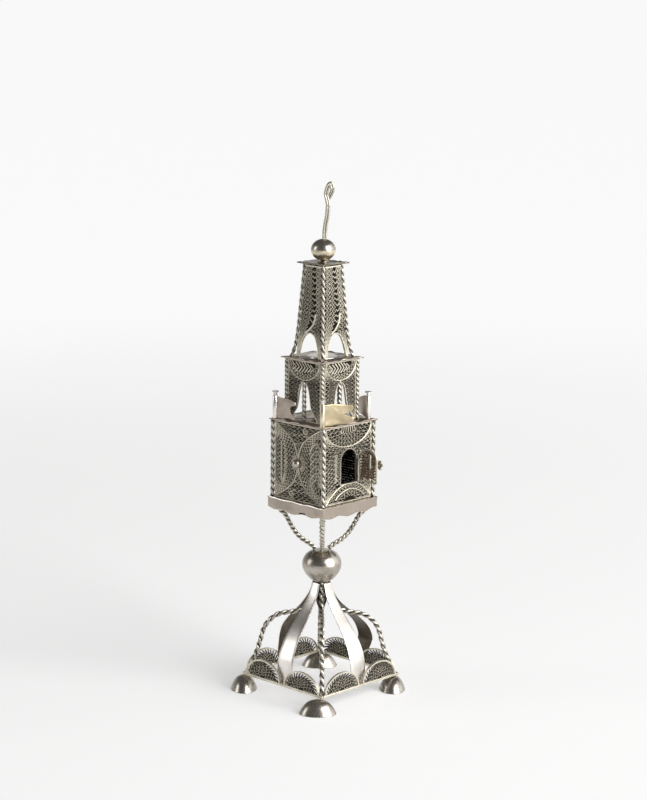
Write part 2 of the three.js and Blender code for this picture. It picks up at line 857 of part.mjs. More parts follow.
Object.entries(corners).forEach(([corner, degrees]) => {
  cornerWire(`belfry_wire_${corner}`, degrees, uprightPath(midWirePlace, midBottom, midTop), midWireRadius,
    midWirePitch, upper);
});
Object.entries(sides).forEach(([side, degrees]) => {
  standPanel(`belfry_panel_${side}`, midPanel(), degrees, midPanelInner, midBottom, upper);
});

const midPlateBottom = midTop + seat;
const midPlateTop = midPlateBottom + plateThick;
const emboss = cylinder(embossRadius, 0, plateThick + embossHeight, 18);
addMesh("belfry_plate", join([pointedPlate(midPlateTip, midPlateSide, plateThick), emboss])
  .translate(0, 0, midPlateBottom), silver, upper);

// Spire: four leaning wires and four tapered panels that end in arches.
const spireBottom = midPlateTop + seat;
const spireTop = spireBottom + spireHeight;
const spireFootPlace = spireFootHalf - spireWireRadius;
const spireTopPlace = spireTopHalf - spireWireRadius;
const lean = Math.atan2(spireFootPlace - spireTopPlace, spireHeight);

// The legs of the spire's wires flare outwards at the foot.
function spireWirePath() {
  return [0, 0.07, 0.15, 0.3, 0.5, 0.75, 1].map((share) => {
    const flare = Math.max(0, 1 - (share * spireHeight) / spireFlareHeight) ** 2;
    return [
      THREE.MathUtils.lerp(spireFootPlace, spireTopPlace, share) + spireFlare * flare,
      spireBottom + share * spireHeight,
    ];
  });
}

function spirePanel() {
  const side = spireWireRadius + seat;
  const tall = spireHeight / Math.cos(lean) - 2 * seat;
  const arch = [
    [spireArchHalf, -1],
    [spireArchHalf, 0.2],
    [spireArchHalf * 0.9, 3],
    [spireArchHalf * 0.74, 6.4],
    [spireArchHalf * 0.52, spireArchHeight - 1],
    [spireArchHalf * 0.2, spireArchHeight],
  ];
  const opening = outline([...arch, ...arch.map(([x, y]) => [-x, y]).reverse()]);
  const sheet = plate(outline([
    [-spireFootPlace + side, 0],
    [spireFootPlace - side, 0],
    [spireTopPlace - side, tall],
    [-spireTopPlace + side, tall],
  ]), spirePanelThick);
  return cut(sheet, [plate(opening, spirePanelThick + 2).translate(0, 0, -1)])
    .translate(0, seat, -spirePanelThick / 2)
    .rotateX(-lean);
}

Object.entries(corners).forEach(([corner, degrees]) => {
  cornerWire(`spire_wire_${corner}`, degrees, spireWirePath(), spireWireRadius, spireWirePitch, upper);
});
Object.entries(sides).forEach(([side, degrees]) => {
  standPanel(`spire_panel_${side}`, spirePanel(), degrees, spireFootPlace, spireBottom, upper);
});

// Top plate with the ball's collar, the ball in two half shells, and the hanging wire.
const topPlateBottom = spireTop + seat;
const topPlateTop = topPlateBottom + plateThick;
const collarTop = topPlateTop + collarHeight;
const ballBottom = collarTop + seat;
const ballSeam = ballBottom + ballHalfHeight;
const ballTop = ballSeam + ballHalfHeight;

addMesh("spire_plate", join([
  pointedPlate(topPlateTip, topPlateSide, plateThick).translate(0, 0, topPlateBottom),
  cylinder(collarRadius, topPlateBottom, collarTop, 16),
]), silver, upper);

function ballHalf(direction) {
  const steps = 4;
  const arc = (radius, height) =>
    range(steps + 1).map((k) => {
      const angle = (Math.PI / 2) * (k / steps);
      return [radius * Math.cos(angle), direction * height * Math.sin(angle)];
    });
  const outer = arc(ballRadius, ballHalfHeight);
  const inner = arc(ballRadius - ballWall, ballHalfHeight - ballWall).reverse();
  const profile = [...outer, ...inner];
  return lathe(direction > 0 ? profile : profile.reverse());
}
addMesh("ball_lower", ballHalf(-1).translate(0, 0, ballSeam - seat / 2), giltSilver, upper);
addMesh("ball_upper", ballHalf(1).translate(0, 0, ballSeam + seat / 2), silver, upper);

// The hanging wire leans a little and is bent over into an eye at its end.
const finialFoot = ballTop + 1.5 * seat;
const finialPath = [
  [0.3, 0],
  [0.5, 3.2],
  [0.9, 6.2],
  [1.4, 9],
  [1.7, 11.8],
  [1.75, 14.2],
  [1.4, 16.3],
  [0.75, 18],
  [0.65, 19.4],
  [1.1, 21.3],
  [1.9, 22.8],
  [2.9, 23.3],
  [3.85, 22.4],
  [4, 20.6],
  [3.3, 18.6],
].map(([x, z]) => [x, finialFoot + z]);

function finialTaper(share) {
  return THREE.MathUtils.lerp(finialShaft, finialLoop, THREE.MathUtils.smoothstep(share, 0.3, 0.55));
}
addMesh("hanging_wire", roundBar(finialPath, 28, finialTaper), silver, turned(corners.front_right, upper));

export default tower;
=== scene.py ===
"""A silver filigree spice tower on an arched wire base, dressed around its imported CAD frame.

The frame is in metres, +Z up. The door side faces -Y and the side with the photographed rosette faces -X.
Pieces are drawn in millimetres and brought to metres when they are finished.
"""

import math
from itertools import accumulate

import bmesh
import bpy
from mathutils import Matrix, Vector
from mathutils.geometry import interpolate_bezier


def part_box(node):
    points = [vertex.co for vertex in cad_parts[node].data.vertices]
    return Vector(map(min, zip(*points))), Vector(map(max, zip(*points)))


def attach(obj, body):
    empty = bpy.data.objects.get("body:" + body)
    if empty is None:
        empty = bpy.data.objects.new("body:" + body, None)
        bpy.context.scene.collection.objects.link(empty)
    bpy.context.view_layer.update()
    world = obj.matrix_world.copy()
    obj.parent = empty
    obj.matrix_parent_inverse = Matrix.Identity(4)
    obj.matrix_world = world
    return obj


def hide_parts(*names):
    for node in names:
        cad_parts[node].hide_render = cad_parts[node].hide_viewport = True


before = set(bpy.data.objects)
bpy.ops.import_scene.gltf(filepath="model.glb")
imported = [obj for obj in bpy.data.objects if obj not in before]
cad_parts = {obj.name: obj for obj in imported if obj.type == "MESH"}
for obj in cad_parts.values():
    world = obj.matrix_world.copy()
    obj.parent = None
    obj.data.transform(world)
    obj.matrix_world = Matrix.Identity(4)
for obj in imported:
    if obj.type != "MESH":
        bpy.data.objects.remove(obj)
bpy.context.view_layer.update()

bl_info = {
    "name": "Filigree spice tower",
    "version": (1, 0, 0),
    "blender": (4, 5, 0),
    "location": "3D View > Sidebar > Spice tower",
    "description": "Builds a silver filigree spice tower around its CAD frame",
    "category": "Add Mesh",
}

MM = 0.001
PHOTO_WIDTH = 647
PHOTO_HEIGHT = 800
SENSOR = 36.0
CORNERS = {"back_right": 45, "back_left": 135, "front_left": 225, "front_right": 315}
SIDES = {"front": 0, "right": 90, "back": 180, "left": 270}
X, Y, Z = range(3)


def low(node, axis):
    """A node's lowest coordinate on an axis, in millimetres."""
    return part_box(node)[0][axis] / MM


def high(node, axis):
    """A node's highest coordinate on an axis, in millimetres."""
    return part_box(node)[1][axis] / MM


# Levels and half widths that the pieces share, read from the frame.
RAIL_BOTTOM = low("base_rail_front", Z)
RAIL_HALF = high("base_rail_right", X)
KNOP_BOTTOM = low("knop_lower", Z)
KNOP_SEAM = (high("knop_lower", Z) + low("knop_upper", Z)) / 2
KNOP_TOP = high("knop_upper", Z)
KNOP_RADIUS = high("knop_lower", X)
TRAY_HALF = high("tray", X)
FLOOR_TOP = high("tray", Z)
BOX_BOTTOM = low("box_wire_front_left", Z)
BOX_TOP = high("box_wire_front_left", Z)
ROOF_BOTTOM = low("roof_plate", Z)
ROOF_TOP = low("belfry_panel_front", Z) - 0.2
POST_TOP = high("roof_plate", Z)
BELFRY_BOTTOM = low("belfry_panel_front", Z)
BELFRY_TOP = high("belfry_wire_front_left", Z)
SPIRE_BOTTOM = low("spire_wire_front_left", Z)
SPIRE_TOP = high("spire_wire_front_left", Z)
TOP_PLATE_BOTTOM = low("spire_plate", Z)
BALL_BOTTOM = low("ball_lower", Z)
BALL_SEAM = (high("ball_lower", Z) + low("ball_upper", Z)) / 2
BALL_TOP = high("ball_upper", Z)
WIRE_FOOT = low("hanging_wire", Z)
BALL_MIDDLE_X = (low("ball_lower", X) + high("ball_lower", X)) / 2
BALL_MIDDLE_Y = (low("ball_lower", Y) + high("ball_lower", Y)) / 2
UPPER_SHIFT = Vector((BALL_MIDDLE_X, BALL_MIDDLE_Y, 0))


def linear(hex_colour):
    """An sRGB hex colour as linear red, green, blue and alpha."""
    channels = [int(hex_colour[i : i + 2], 16) / 255 for i in (1, 3, 5)]
    return tuple(c / 12.92 if c <= 0.04045 else ((c + 0.055) / 1.055) ** 2.4 for c in channels) + (1.0,)


def length_of(name, description, millimetres):
    """A size that a user can change."""
    return bpy.props.FloatProperty(
        name=name, description=description, default=millimetres * MM, unit="LENGTH"
    )


def angle_of(name, description, degrees):
    """An angle that a user can change."""
    return bpy.props.FloatProperty(
        name=name, description=description, default=math.radians(degrees), subtype="ANGLE"
    )


def colour_of(name, description, hex_colour):
    """A colour that a user can change."""
    colour = linear(hex_colour)[:3]
    return bpy.props.FloatVectorProperty(
        name=name, description=description, default=colour, subtype="COLOR", size=3, min=0, max=1
    )


def amount_of(name, description, value):
    """A plain number that a user can change."""
    return bpy.props.FloatProperty(name=name, description=description, default=value)


class SPICETOWER_PG_finishes(bpy.types.PropertyGroup):
    """Colours of the silver in its finishes, bright and tarnished."""

    sheet: colour_of("Sheet silver", "Polished sheet", "#C3BDB3")
    sheet_tarnish: colour_of("Sheet tarnish", "Film on the sheet", "#8A8276")
    satin: colour_of("Thin sheet", "Rubbed thin sheet", "#F4F0EA")
    satin_tarnish: colour_of("Thin sheet tarnish", "Dull patches on the thin sheet", "#B4A89C")
    # The inner colours are tarnish and also painted shade. They go on faces that turn inwards or downwards,
    # out of the light.
    inner: colour_of("Inner sheet", "Unpolished inner faces", "#6A6256")
    inner_tarnish: colour_of("Inner tarnish", "Sulphide on the inner faces", "#3C362F")
    wire: colour_of("Wire silver", "Crests of the twisted wire", "#D9D3C5")
    wire_tarnish: colour_of("Wire tarnish", "Grooves of the twisted wire", "#2B261F")
    strip: colour_of("Strip silver", "Rubbed flat strips of the filigree", "#E6DFCE")
    strip_tarnish: colour_of("Strip tarnish", "Film on the strips", "#5A5244")
    filigree: colour_of("Filigree silver", "Fine wires of the filigree", "#EDE6D3")
    filigree_tarnish: colour_of("Filigree tarnish", "Sulphide between the fine wires", "#2A251D")
    unrubbed: colour_of("Unrubbed filigree", "Inner side of the door leaf", "#C8AF97")
    gilt: colour_of("Gilding", "Worn fire gilding", "#ECE2CA")
    gilt_tarnish: colour_of("Gilding tarnish", "Where the gilding is thin", "#B0A285")


class SPICETOWER_PG_wires(bpy.types.PropertyGroup):
    """Lengths of one turn of each twisted wire."""

    rib_pitch: length_of("Rib pitch", "One turn of the base's ribs", 6.6)
    bracket_pitch: length_of("Bracket pitch", "One turn of the brackets", 4.4)
    box_pitch: length_of("Box wire pitch", "One turn of the box's corner wires", 5.9)
    belfry_pitch: length_of("Belfry wire pitch", "One turn of the belfry's corner wires", 4.0)
    spire_pitch: length_of("Spire wire pitch", "One turn of the spire's corner wires", 6.0)
    mullion_pitch: length_of("Mullion pitch", "One turn of the window mullions", 4.3)


class SPICETOWER_PG_filigree(bpy.types.PropertyGroup):
    """Sizes of the filigree wires."""

    guide_width: length_of("Guide width", "Plain wires between the crimped ones", 0.26)
    crimp_width: length_of("Crimp width", "Crimped wires", 0.48)
    crimp_pitch: length_of("Crimp pitch", "One bend to and fro of the crimped wires", 1.8)
    strip_width: length_of("Strip width", "Flat strips that frame the fields", 0.55)
    ground_width: length_of("Ground width", "Broad wires behind the pattern", 1.0)


class SPICETOWER_PG_stage(bpy.types.PropertyGroup):
    """The floor, the lamps and the photographed viewpoint."""

    floor_reach: length_of("Floor reach", "From the tower to the backdrop", 6000)
    backdrop_height: length_of("Backdrop height", "Of the card behind the tower", 3600)
    camera_distance: length_of("Camera distance", "From the tower's axis, on the level", 935.25)
    camera_height: length_of("Camera height", "Above the table", 309.7)
    camera_azimuth: angle_of("Camera azimuth", "Turn about +Z from looking along +Y", -46.04)
    camera_pitch: angle_of("Camera pitch", "Tilt below the level", 11.02)
    camera_roll: angle_of("Camera roll", "Turn about the line of sight", 0.59)
    focal_pixels: amount_of("Focal length in pixels", "In the photo's own pixels", 2251.0)
    key_power: amount_of("Key lamp", "Watts of the tall softbox on the door side", 90.0)
    left_power: amount_of("Left lamp", "Watts of the low lamp behind the rosette side", 11.0)
    right_power: amount_of("Right lamp", "Watts of the large weak lamp", 17.0)
    room_level: amount_of("Room level", "Grey light of the room", 0.12)


# Materials.


def add_node(tree, kind, links=(), **settings):
    """A shader node with its settings, its socket values by name, and its incoming links."""
    node = tree.nodes.new(kind)
    for name, value in settings.items():
        if hasattr(node, name):
            setattr(node, name, value)
        else:
            node.inputs[name.replace("_", " ")].default_value = value
    for socket, source in links:
        tree.links.new(source, node.inputs[socket])
    return node


def silver_material(
    name, bright, tarnish, rough, patches_mm, grain_mm, dents_mm, depth_mm, film=0.7, metal=1.0
):
    """Aged silver: tarnish in its grooves and in soft patches, fine grain and shallow dents.

    The film is how far the patches go towards the tarnish. Metal below 1 scatters a part of the light.
    """
    material = bpy.data.materials.new(name)
    material.use_nodes = True
    tree = material.node_tree
    tree.nodes.clear()
    place = add_node(tree, "ShaderNodeTexCoord").outputs["Object"]
    spot = [("Vector", place)]
    patches, grain, dents = (
        add_node(tree, "ShaderNodeTexNoise", spot, Scale=1 / (size * MM), Detail=detail, Roughness=ratio)
        for size, detail, ratio in ((patches_mm, 5.0, 0.6), (grain_mm, 3.0, 0.7), (dents_mm, 1.0, 0.5))
    )
    cloud = [("Value", patches.outputs["Fac"])]
    spread = add_node(tree, "ShaderNodeMapRange", cloud, From_Min=0.38, From_Max=0.68, To_Max=film)
    # The wear attribute is 1 on crests that hands have rubbed and 0 deep in the grooves.
    wear = add_node(tree, "ShaderNodeAttribute", attribute_name="wear")
    groove = add_node(tree, "ShaderNodeMath", [(1, wear.outputs["Fac"])], operation="SUBTRACT")
    groove.inputs[0].default_value = 1.0
    darker = [(0, groove.outputs["Value"]), (1, spread.outputs["Result"])]
    dark = add_node(tree, "ShaderNodeMath", darker, operation="MAXIMUM")
    share = [("Factor", dark.outputs["Value"])]
    colour = add_node(tree, "ShaderNodeMix", share, data_type="RGBA", A=(*bright, 1), B=(*tarnish, 1))
    speckle = [("Value", grain.outputs["Fac"])]
    gloss = add_node(tree, "ShaderNodeMapRange", speckle, To_Min=rough * 0.75, To_Max=rough * 1.35)
    hollow = add_node(
        tree, "ShaderNodeBump", [("Height", dents.outputs["Fac"])], Strength=1.0, Distance=depth_mm * MM
    )
    relief = [("Height", grain.outputs["Fac"]), ("Normal", hollow.outputs["Normal"])]
    bump = add_node(tree, "ShaderNodeBump", relief, Strength=0.3, Distance=0.03 * MM)
    surface = [
        ("Base Color", colour.outputs["Result"]),
        ("Roughness", gloss.outputs["Result"]),
        ("Normal", bump.outputs["Normal"]),
    ]
    shader = add_node(tree, "ShaderNodeBsdfPrincipled", surface, Metallic=metal)
    add_node(tree, "ShaderNodeOutputMaterial", [("Surface", shader.outputs["BSDF"])])
    return material


def sheet_silver(colours):
    """Planished sterling sheet, polished by hand: soft wide reflections, with a faint warm film."""
    return silver_material(
        "planished_sterling_sheet", colours.sheet, colours.sheet_tarnish,
        rough=0.27, patches_mm=8, grain_mm=0.5, dents_mm=6, depth_mm=0.12,
    )


def satin_silver(colours):
    """Thin sheet, buckled and rubbed by handling: bright, with broken reflections and dull patches."""
    return silver_material(
        "rubbed_thin_sheet", colours.satin, colours.satin_tarnish,
        rough=0.25, patches_mm=5, grain_mm=0.6, dents_mm=6, depth_mm=0.5, film=0.6,
    )


def rolled_silver(colours):
    """Rolled strip and plate, bent by hand: pale and smooth, with long soft reflections and a film."""
    return silver_material(
        "rolled_pale_strip", colours.satin, colours.satin_tarnish,
        rough=0.3, patches_mm=9, grain_mm=0.6, dents_mm=9, depth_mm=0.14, film=0.6,
    )


def inner_silver(colours):
    """Sheet that was never polished, dull and brown with tarnish, on the faces turned inwards; its dark
    colour is also painted shade where those faces lie in shadow.
    """
    return silver_material(
        "unpolished_inner_sheet_and_painted_shade", colours.inner, colours.inner_tarnish,
        rough=0.42, patches_mm=7, grain_mm=0.5, dents_mm=6, depth_mm=0.1,
    )


def drawn_silver(colours):
    """Plain drawn wire, not twisted: smooth along its length, with a thin even film."""
    return silver_material(
        "plain_drawn_wire", colours.wire, colours.sheet_tarnish,
        rough=0.3, patches_mm=9, grain_mm=0.5, dents_mm=9, depth_mm=0.02, film=0.5,
    )


def wire_silver(colours):
    """Drawn silver wire, twisted in pairs: bright on the crests, brown in the grooves."""
    return silver_material(
        "twisted_silver_wire", colours.wire, colours.wire_tarnish,
        rough=0.4, patches_mm=4, grain_mm=0.5, dents_mm=2, depth_mm=0.03, film=0.35,
    )


def strip_silver(colours):
    """Flat drawn strips, rubbed bright along their edges by handling."""
    return silver_material(
        "rubbed_silver_strip", colours.strip, colours.strip_tarnish,
        rough=0.48, patches_mm=4, grain_mm=0.4, dents_mm=2, depth_mm=0.03, film=0.3,
    )


def filigree_silver(colours):
    """Flattened filigree wire, soldered and pickled, with dull sulphide between the wires."""
    return silver_material(
        "tarnished_filigree_wire", colours.filigree, colours.filigree_tarnish,
        rough=0.52, patches_mm=3, grain_mm=0.4, dents_mm=1.2, depth_mm=0.04, film=0.3, metal=0.84,
    )


def inner_filigree(colours):
    """Filigree wire that no hand has rubbed: brown, with dull specks of metal."""
    return silver_material(
        "unrubbed_filigree_wire", colours.unrubbed, colours.filigree_tarnish,
        rough=0.5, patches_mm=2, grain_mm=0.4, dents_mm=1.2, depth_mm=0.05, film=0.5, metal=0.84,
    )


def gilt_silver(colours):
    """Fire-gilt silver, worn thin: pale yellow where the gilding is left."""
    return silver_material(
        "worn_fire_gilding", colours.gilt, colours.gilt_tarnish,
        rough=0.36, patches_mm=5, grain_mm=0.5, dents_mm=4, depth_mm=0.3, film=0.9,
    )


FINISHES = {
    "sheet_silver": sheet_silver,
    "satin_silver": satin_silver,
    "rolled_silver": rolled_silver,
    "inner_silver": inner_silver,
    "drawn_silver": drawn_silver,
    "wire_silver": wire_silver,
    "strip_silver": strip_silver,
    "filigree_silver": filigree_silver,
    "inner_filigree": inner_filigree,
    "gilt_silver": gilt_silver,
}
materials = {}


def finish_of(name):
    """The finish of that name, made when it is first asked for."""
    if name not in materials:
        materials[name] = FINISHES[name](bpy.context.scene.spice_tower_finishes)
    return materials[name]


# Lines.


def path_length(path):
    """How long a line through points is."""
    return sum((b - a).length for a, b in zip(path, path[1:]))


def even(path, count):
    """The same line as count steps of the same length."""
    reached = list(accumulate(((b - a).length for a, b in zip(path, path[1:])), initial=0))
    step, points = 0, []
    for k in range(count + 1):
        goal = reached[-1] * k / count
        while step < len(path) - 2 and reached[step + 1] < goal:
            step += 1
        gap = reached[step + 1] - reached[step]
        points.append(path[step].lerp(path[step + 1], (goal - reached[step]) / gap if gap else 0))
    return points


def smooth_path(knots, count):
    """Evenly spaced points on a smooth line through the knots."""
    knots = [Vector(knot).to_3d() for knot in knots]
    spots = [knots[0], *knots, knots[-1]]
    fine = []
    for before, start, end, after in zip(spots, spots[1:], spots[2:], spots[3:]):
        fine += interpolate_bezier(start, start + (end - before) / 6, end - (after - start) / 6, end, 13)[:-1]
    return even([*fine, knots[-1]], count)


def upright_path(knots, count):
    """A smooth line through (reach, height) knots, in the XZ plane."""
    return smooth_path([(reach, 0, height) for reach, height in knots], count)


def arc(centre, half, rise, start=0, end=180, count=32):
    """Part of an ellipse in the XY plane, from a start to an end angle in degrees."""
    points = []
    for k in range(count + 1):
        angle = math.radians(start + (end - start) * k / count)
        points.append(Vector((centre[0] + half * math.cos(angle), centre[1] + rise * math.sin(angle), 0)))
    return points


def line(*spots):
    """Straight lines through (x, y) spots."""
    return [Vector((x, y, 0)) for x, y in spots]


def between(first, second, share, count):
    """A line that lies between two others."""
    return [a.lerp(b, share) for a, b in zip(even(first, count), even(second, count))]


def crimp(first, second, pitch):
    """A wire bent to and fro between two lines."""
    count = max(2, round(2 * path_length(between(first, second, 0.5, 12)) / pitch))
    pair = even(first, count), even(second, count)
    return [pair[k % 2][k] for k in range(count + 1)]


def ladder(first, second, pitch, slant=0):
    """Short strokes from one line to another, slanted by a number of steps."""
    count = max(2, round(path_length(first) / pitch))
    left, right = even(first, count), even(second, count)
    return [[left[k], right[k + slant]] for k in range(max(0, -slant), count + 1 - max(0, slant))]


def rings(path, radius, pitch):
    """Small rings side by side along a line."""
    count = max(1, round(path_length(path) / pitch))
    return [arc(spot, radius, radius, 0, 360, 8)[:-1] for spot in even(path, count)]


def feather(vein, reach, rise, pitch):
    """Pairs of strokes that rise to both sides of an upright vein."""
    count = max(1, round(path_length(vein) / pitch))
    arms = Vector((-reach, rise, 0)), Vector((reach, rise, 0))
    return [[spot + arms[0], spot, spot + arms[1]] for spot in even(vein, count)[:-1]]


def across_at(path, height):
    """How far from the middle a line is at a height, or 0 beyond its ends."""
    for a, b in zip(path, path[1:]):
        if min(a.y, b.y) <= height <= max(a.y, b.y) and a.y != b.y:
            return abs(a.lerp(b, (height - a.y) / (b.y - a.y)).x)
    return 0


def mirrored(paths):
    """The same lines with left and right exchanged."""
    return [[Vector((-point.x, point.y, point.z)) for point in path] for path in paths]


def spiral(centre, radius, turns, start):
    """A scroll that winds in from its rim, from a start angle in degrees."""
    count, points = 14, []
    for k in range(count + 1):
        share = k / count
        angle = math.radians(start) + 2 * math.pi * turns * share
        reach = radius * (1 - 0.8 * share)
        points.append(Vector((centre[0] + reach * math.cos(angle), centre[1] + reach * math.sin(angle), 0)))
    return points


# Shapes, in millimetres.


def wear_layer(shape):
    """The shape's wear attribute, which the finishes read."""
    layers = shape.verts.layers.float
    return layers.get("wear") or layers.new("wear")


def rub_if_plain(shape):
    """Wear a shape bright all over, unless its wear is already set."""
    if not shape.verts.layers.float.get("wear"):
        layer = wear_layer(shape)
        for vert in shape.verts:
            vert[layer] = 1.0


def add_wires(shape, paths, width, depth=None, sides=4, lift=0.0, closed=False, material=0):
    """Wires along the lines: round, or with a depth, flat ones on edge in a panel in the XY plane."""
    curve = bpy.data.curves.new("wires", "CURVE")
    curve.dimensions = "3D"
    curve.twist_mode = "Z_UP"
    square = depth is not None and sides == 4
    curve.bevel_depth = width / math.sqrt(2) if square else width / 2
    curve.bevel_resolution = (sides - 4) // 2
    for path in paths:
        spline = curve.splines.new("POLY")
        spline.points.add(len(path) - 1)
        for point, spot in zip(spline.points, path):
            point.co = (*spot, 1)
            point.tilt = math.pi / 4 if square else 0
        spline.use_cyclic_u = closed
    holder = bpy.data.objects.new("wires", curve)
    mesh = holder.to_mesh()
    if depth is not None:
        mesh.transform(Matrix.Scale(depth / width, 4, (0, 0, 1)))
    mesh.transform(Matrix.Translation((0, 0, lift)))
    layer = wear_layer(shape)
    first_vert, first_edge, first_face = len(shape.verts), len(shape.edges), len(shape.faces)
    shape.from_mesh(mesh)
    shape.verts.ensure_lookup_table()
    shape.edges.ensure_lookup_table()
    bmesh.ops.holes_fill(shape, edges=[edge for edge in shape.edges[first_edge:] if edge.is_boundary])
    shape.faces.ensure_lookup_table()
    for face in shape.faces[first_face:]:
        face.material_index = material
    for vert in shape.verts[first_vert:]:
        vert[layer] = 1.0
    holder.to_mesh_clear()
    bpy.data.objects.remove(holder)
    bpy.data.curves.remove(curve)


def weather(shape, thick, both=False, least=0.0):
    """Wear a panel's wires by their height: bright on the worked face or faces, tarnished away from them."""
    layer = wear_layer(shape)
    for vert in shape.verts:
        share = vert.co.z / thick
        # With both faces worked, the height counts outwards from the middle plane.
        height = 2.4 * abs(share - 0.5) - 0.1 if both else share
        vert[layer] = max(least, min(1.0, (height - 0.45) / 0.45))


def add_twist(shape, path, radius, pitch, across, sides=8, steps=12):
    """Two round strands wound to the left about a line whose plane has the given normal."""
    strand_width, strand_reach = 1.2, 0.41
    turns = path_length(path) / pitch
    count = math.ceil(turns * steps)
    spots = even(path, count)
    strands = ([], [])
    for k, spot in enumerate(spots):
        along = (spots[min(k + 1, count)] - spots[max(k - 1, 0)]).normalized()
        inwards = along.cross(across)
        angle = 2 * math.pi * turns * k / count
        offset = (inwards * math.cos(angle) + across * math.sin(angle)) * radius * strand_reach
        strands[0].append(spot + offset)
        strands[1].append(spot - offset)
    start = len(shape.verts)
    add_wires(shape, strands, radius * strand_width, sides=sides)
    # The crests stand far from the middle line, and the grooves lie close to it.
    layer, strand_verts = wear_layer(shape), (count + 1) * sides
    for k, vert in enumerate(shape.verts[start:]):
        reach = (vert.co - spots[min(count, k % strand_verts // sides)]).length / radius
        vert[layer] = max(0.0, min(1.0, (reach - 0.66) / 0.28))


def add_spun(shape, profile, steps=64, closed=True):
    """A (radius, height) outline turned round the upright axis."""
    start = len(shape.verts)
    verts = [shape.verts.new((radius, 0, height)) for radius, height in profile]
    pairs = list(zip(verts, verts[1:])) + ([(verts[-1], verts[0])] if closed else [])
    geom = verts + [shape.edges.new(pair) for pair in pairs]
    bmesh.ops.spin(
        shape, geom=geom, cent=(0, 0, 0), axis=(0, 0, 1), angle=2 * math.pi, steps=steps, use_merge=True
    )
    shape.verts.ensure_lookup_table()
    new = shape.verts[start:]
    bmesh.ops.remove_doubles(shape, verts=new, dist=1e-4)


def add_sheet(shape, columns, rows, place, thick):
    """A flat grid bent into a sheet: place gives the spot for each (-1..1, -1..1)."""
    grid = bmesh.ops.create_grid(shape, x_segments=columns, y_segments=rows, size=1)["verts"]
    for vert in grid:
        vert.co = place(vert.co.x, vert.co.y)
    bmesh.ops.remove_doubles(shape, verts=grid, dist=1e-4)
    faces = [face for face in shape.faces if not face.tag]
    bmesh.ops.recalc_face_normals(shape, faces=faces)
    bmesh.ops.solidify(shape, geom=faces, thickness=thick)
    for face in shape.faces:
        face.tag = True


def add_block(shape, lowest, highest, edge=0.12):
    """A bar or block with softened edges."""
    verts = bmesh.ops.create_cube(shape, size=1)["verts"]
    for vert in verts:
        vert.co = Vector(b if c > 0 else a for a, b, c in zip(lowest, highest, vert.co))
    edges = list({edge for vert in verts for edge in vert.link_edges})
    soften(shape, edges, edge)


def soften(shape, edges, reach):
    """Round off edges."""
    bmesh.ops.bevel(
        shape,
        geom=edges,
        offset=reach,
        segments=2,
        profile=0.5,
        affect="EDGES",
        material=-1,
        clamp_overlap=True,
    )


def sharp_edges(shape, degrees=50):
    """The edges where two faces meet at more than an angle."""
    limit = math.radians(degrees)
    return [edge for edge in shape.edges if len(edge.link_faces) == 2 and edge.calc_face_angle(0) > limit]


def placed(shape, *steps):
    """Move a shape by matrices, the first one first."""
    for step in steps:
        bmesh.ops.transform(shape, matrix=step, verts=shape.verts)
    return shape


def turned(degrees):
    """A turn about the upright axis."""
    return Matrix.Rotation(math.radians(degrees), 4, "Z")


def standing(inner_face, bottom):
    """Stands a panel drawn in X and Y up on the front side, its own Z outwards."""
    return Matrix.Translation((0, -inner_face, bottom)) @ Matrix.Rotation(math.pi / 2, 4, "X")


CENTRED = Matrix.Identity(4)
SHIFTED = Matrix.Translation(UPPER_SHIFT)


def finish_piece(shape, name, nodes, slot, finishes=None, body="tower"):
    """Make a piece of a shape: metres, outward faces, creases, finishes, body and replaced nodes; the slot
    names the finish when no finishes are given.
    """
    rub_if_plain(shape)
    bmesh.ops.recalc_face_normals(shape, faces=shape.faces)
    bmesh.ops.scale(shape, vec=(MM, MM, MM), verts=shape.verts)
    mesh = bpy.data.meshes.new(name)
    shape.to_mesh(mesh)
    shape.free()
    mesh.shade_smooth()
    mesh.set_sharp_from_angle(angle=math.radians(40))
    for finish in finishes or (slot,):
        mesh.materials.append(finish_of(finish))
    piece = bpy.data.objects.new(name, mesh)
    bpy.context.scene.collection.objects.link(piece)
    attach(piece, body)
    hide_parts(*nodes)
    return piece


def add_corner_wires(kind, path, radius, pitch, shift=CENTRED, steps=10):
    """Four twisted wires, one at each corner."""
    for corner, degrees in CORNERS.items():
        shape = bmesh.new()
        add_twist(shape, path, radius, pitch, Vector((0, 1, 0)), steps=steps)
        placed(shape, turned(degrees), shift)
        finish_piece(shape, f"{kind}_{corner}_twist", [f"{kind}_{corner}"], "wire_silver")


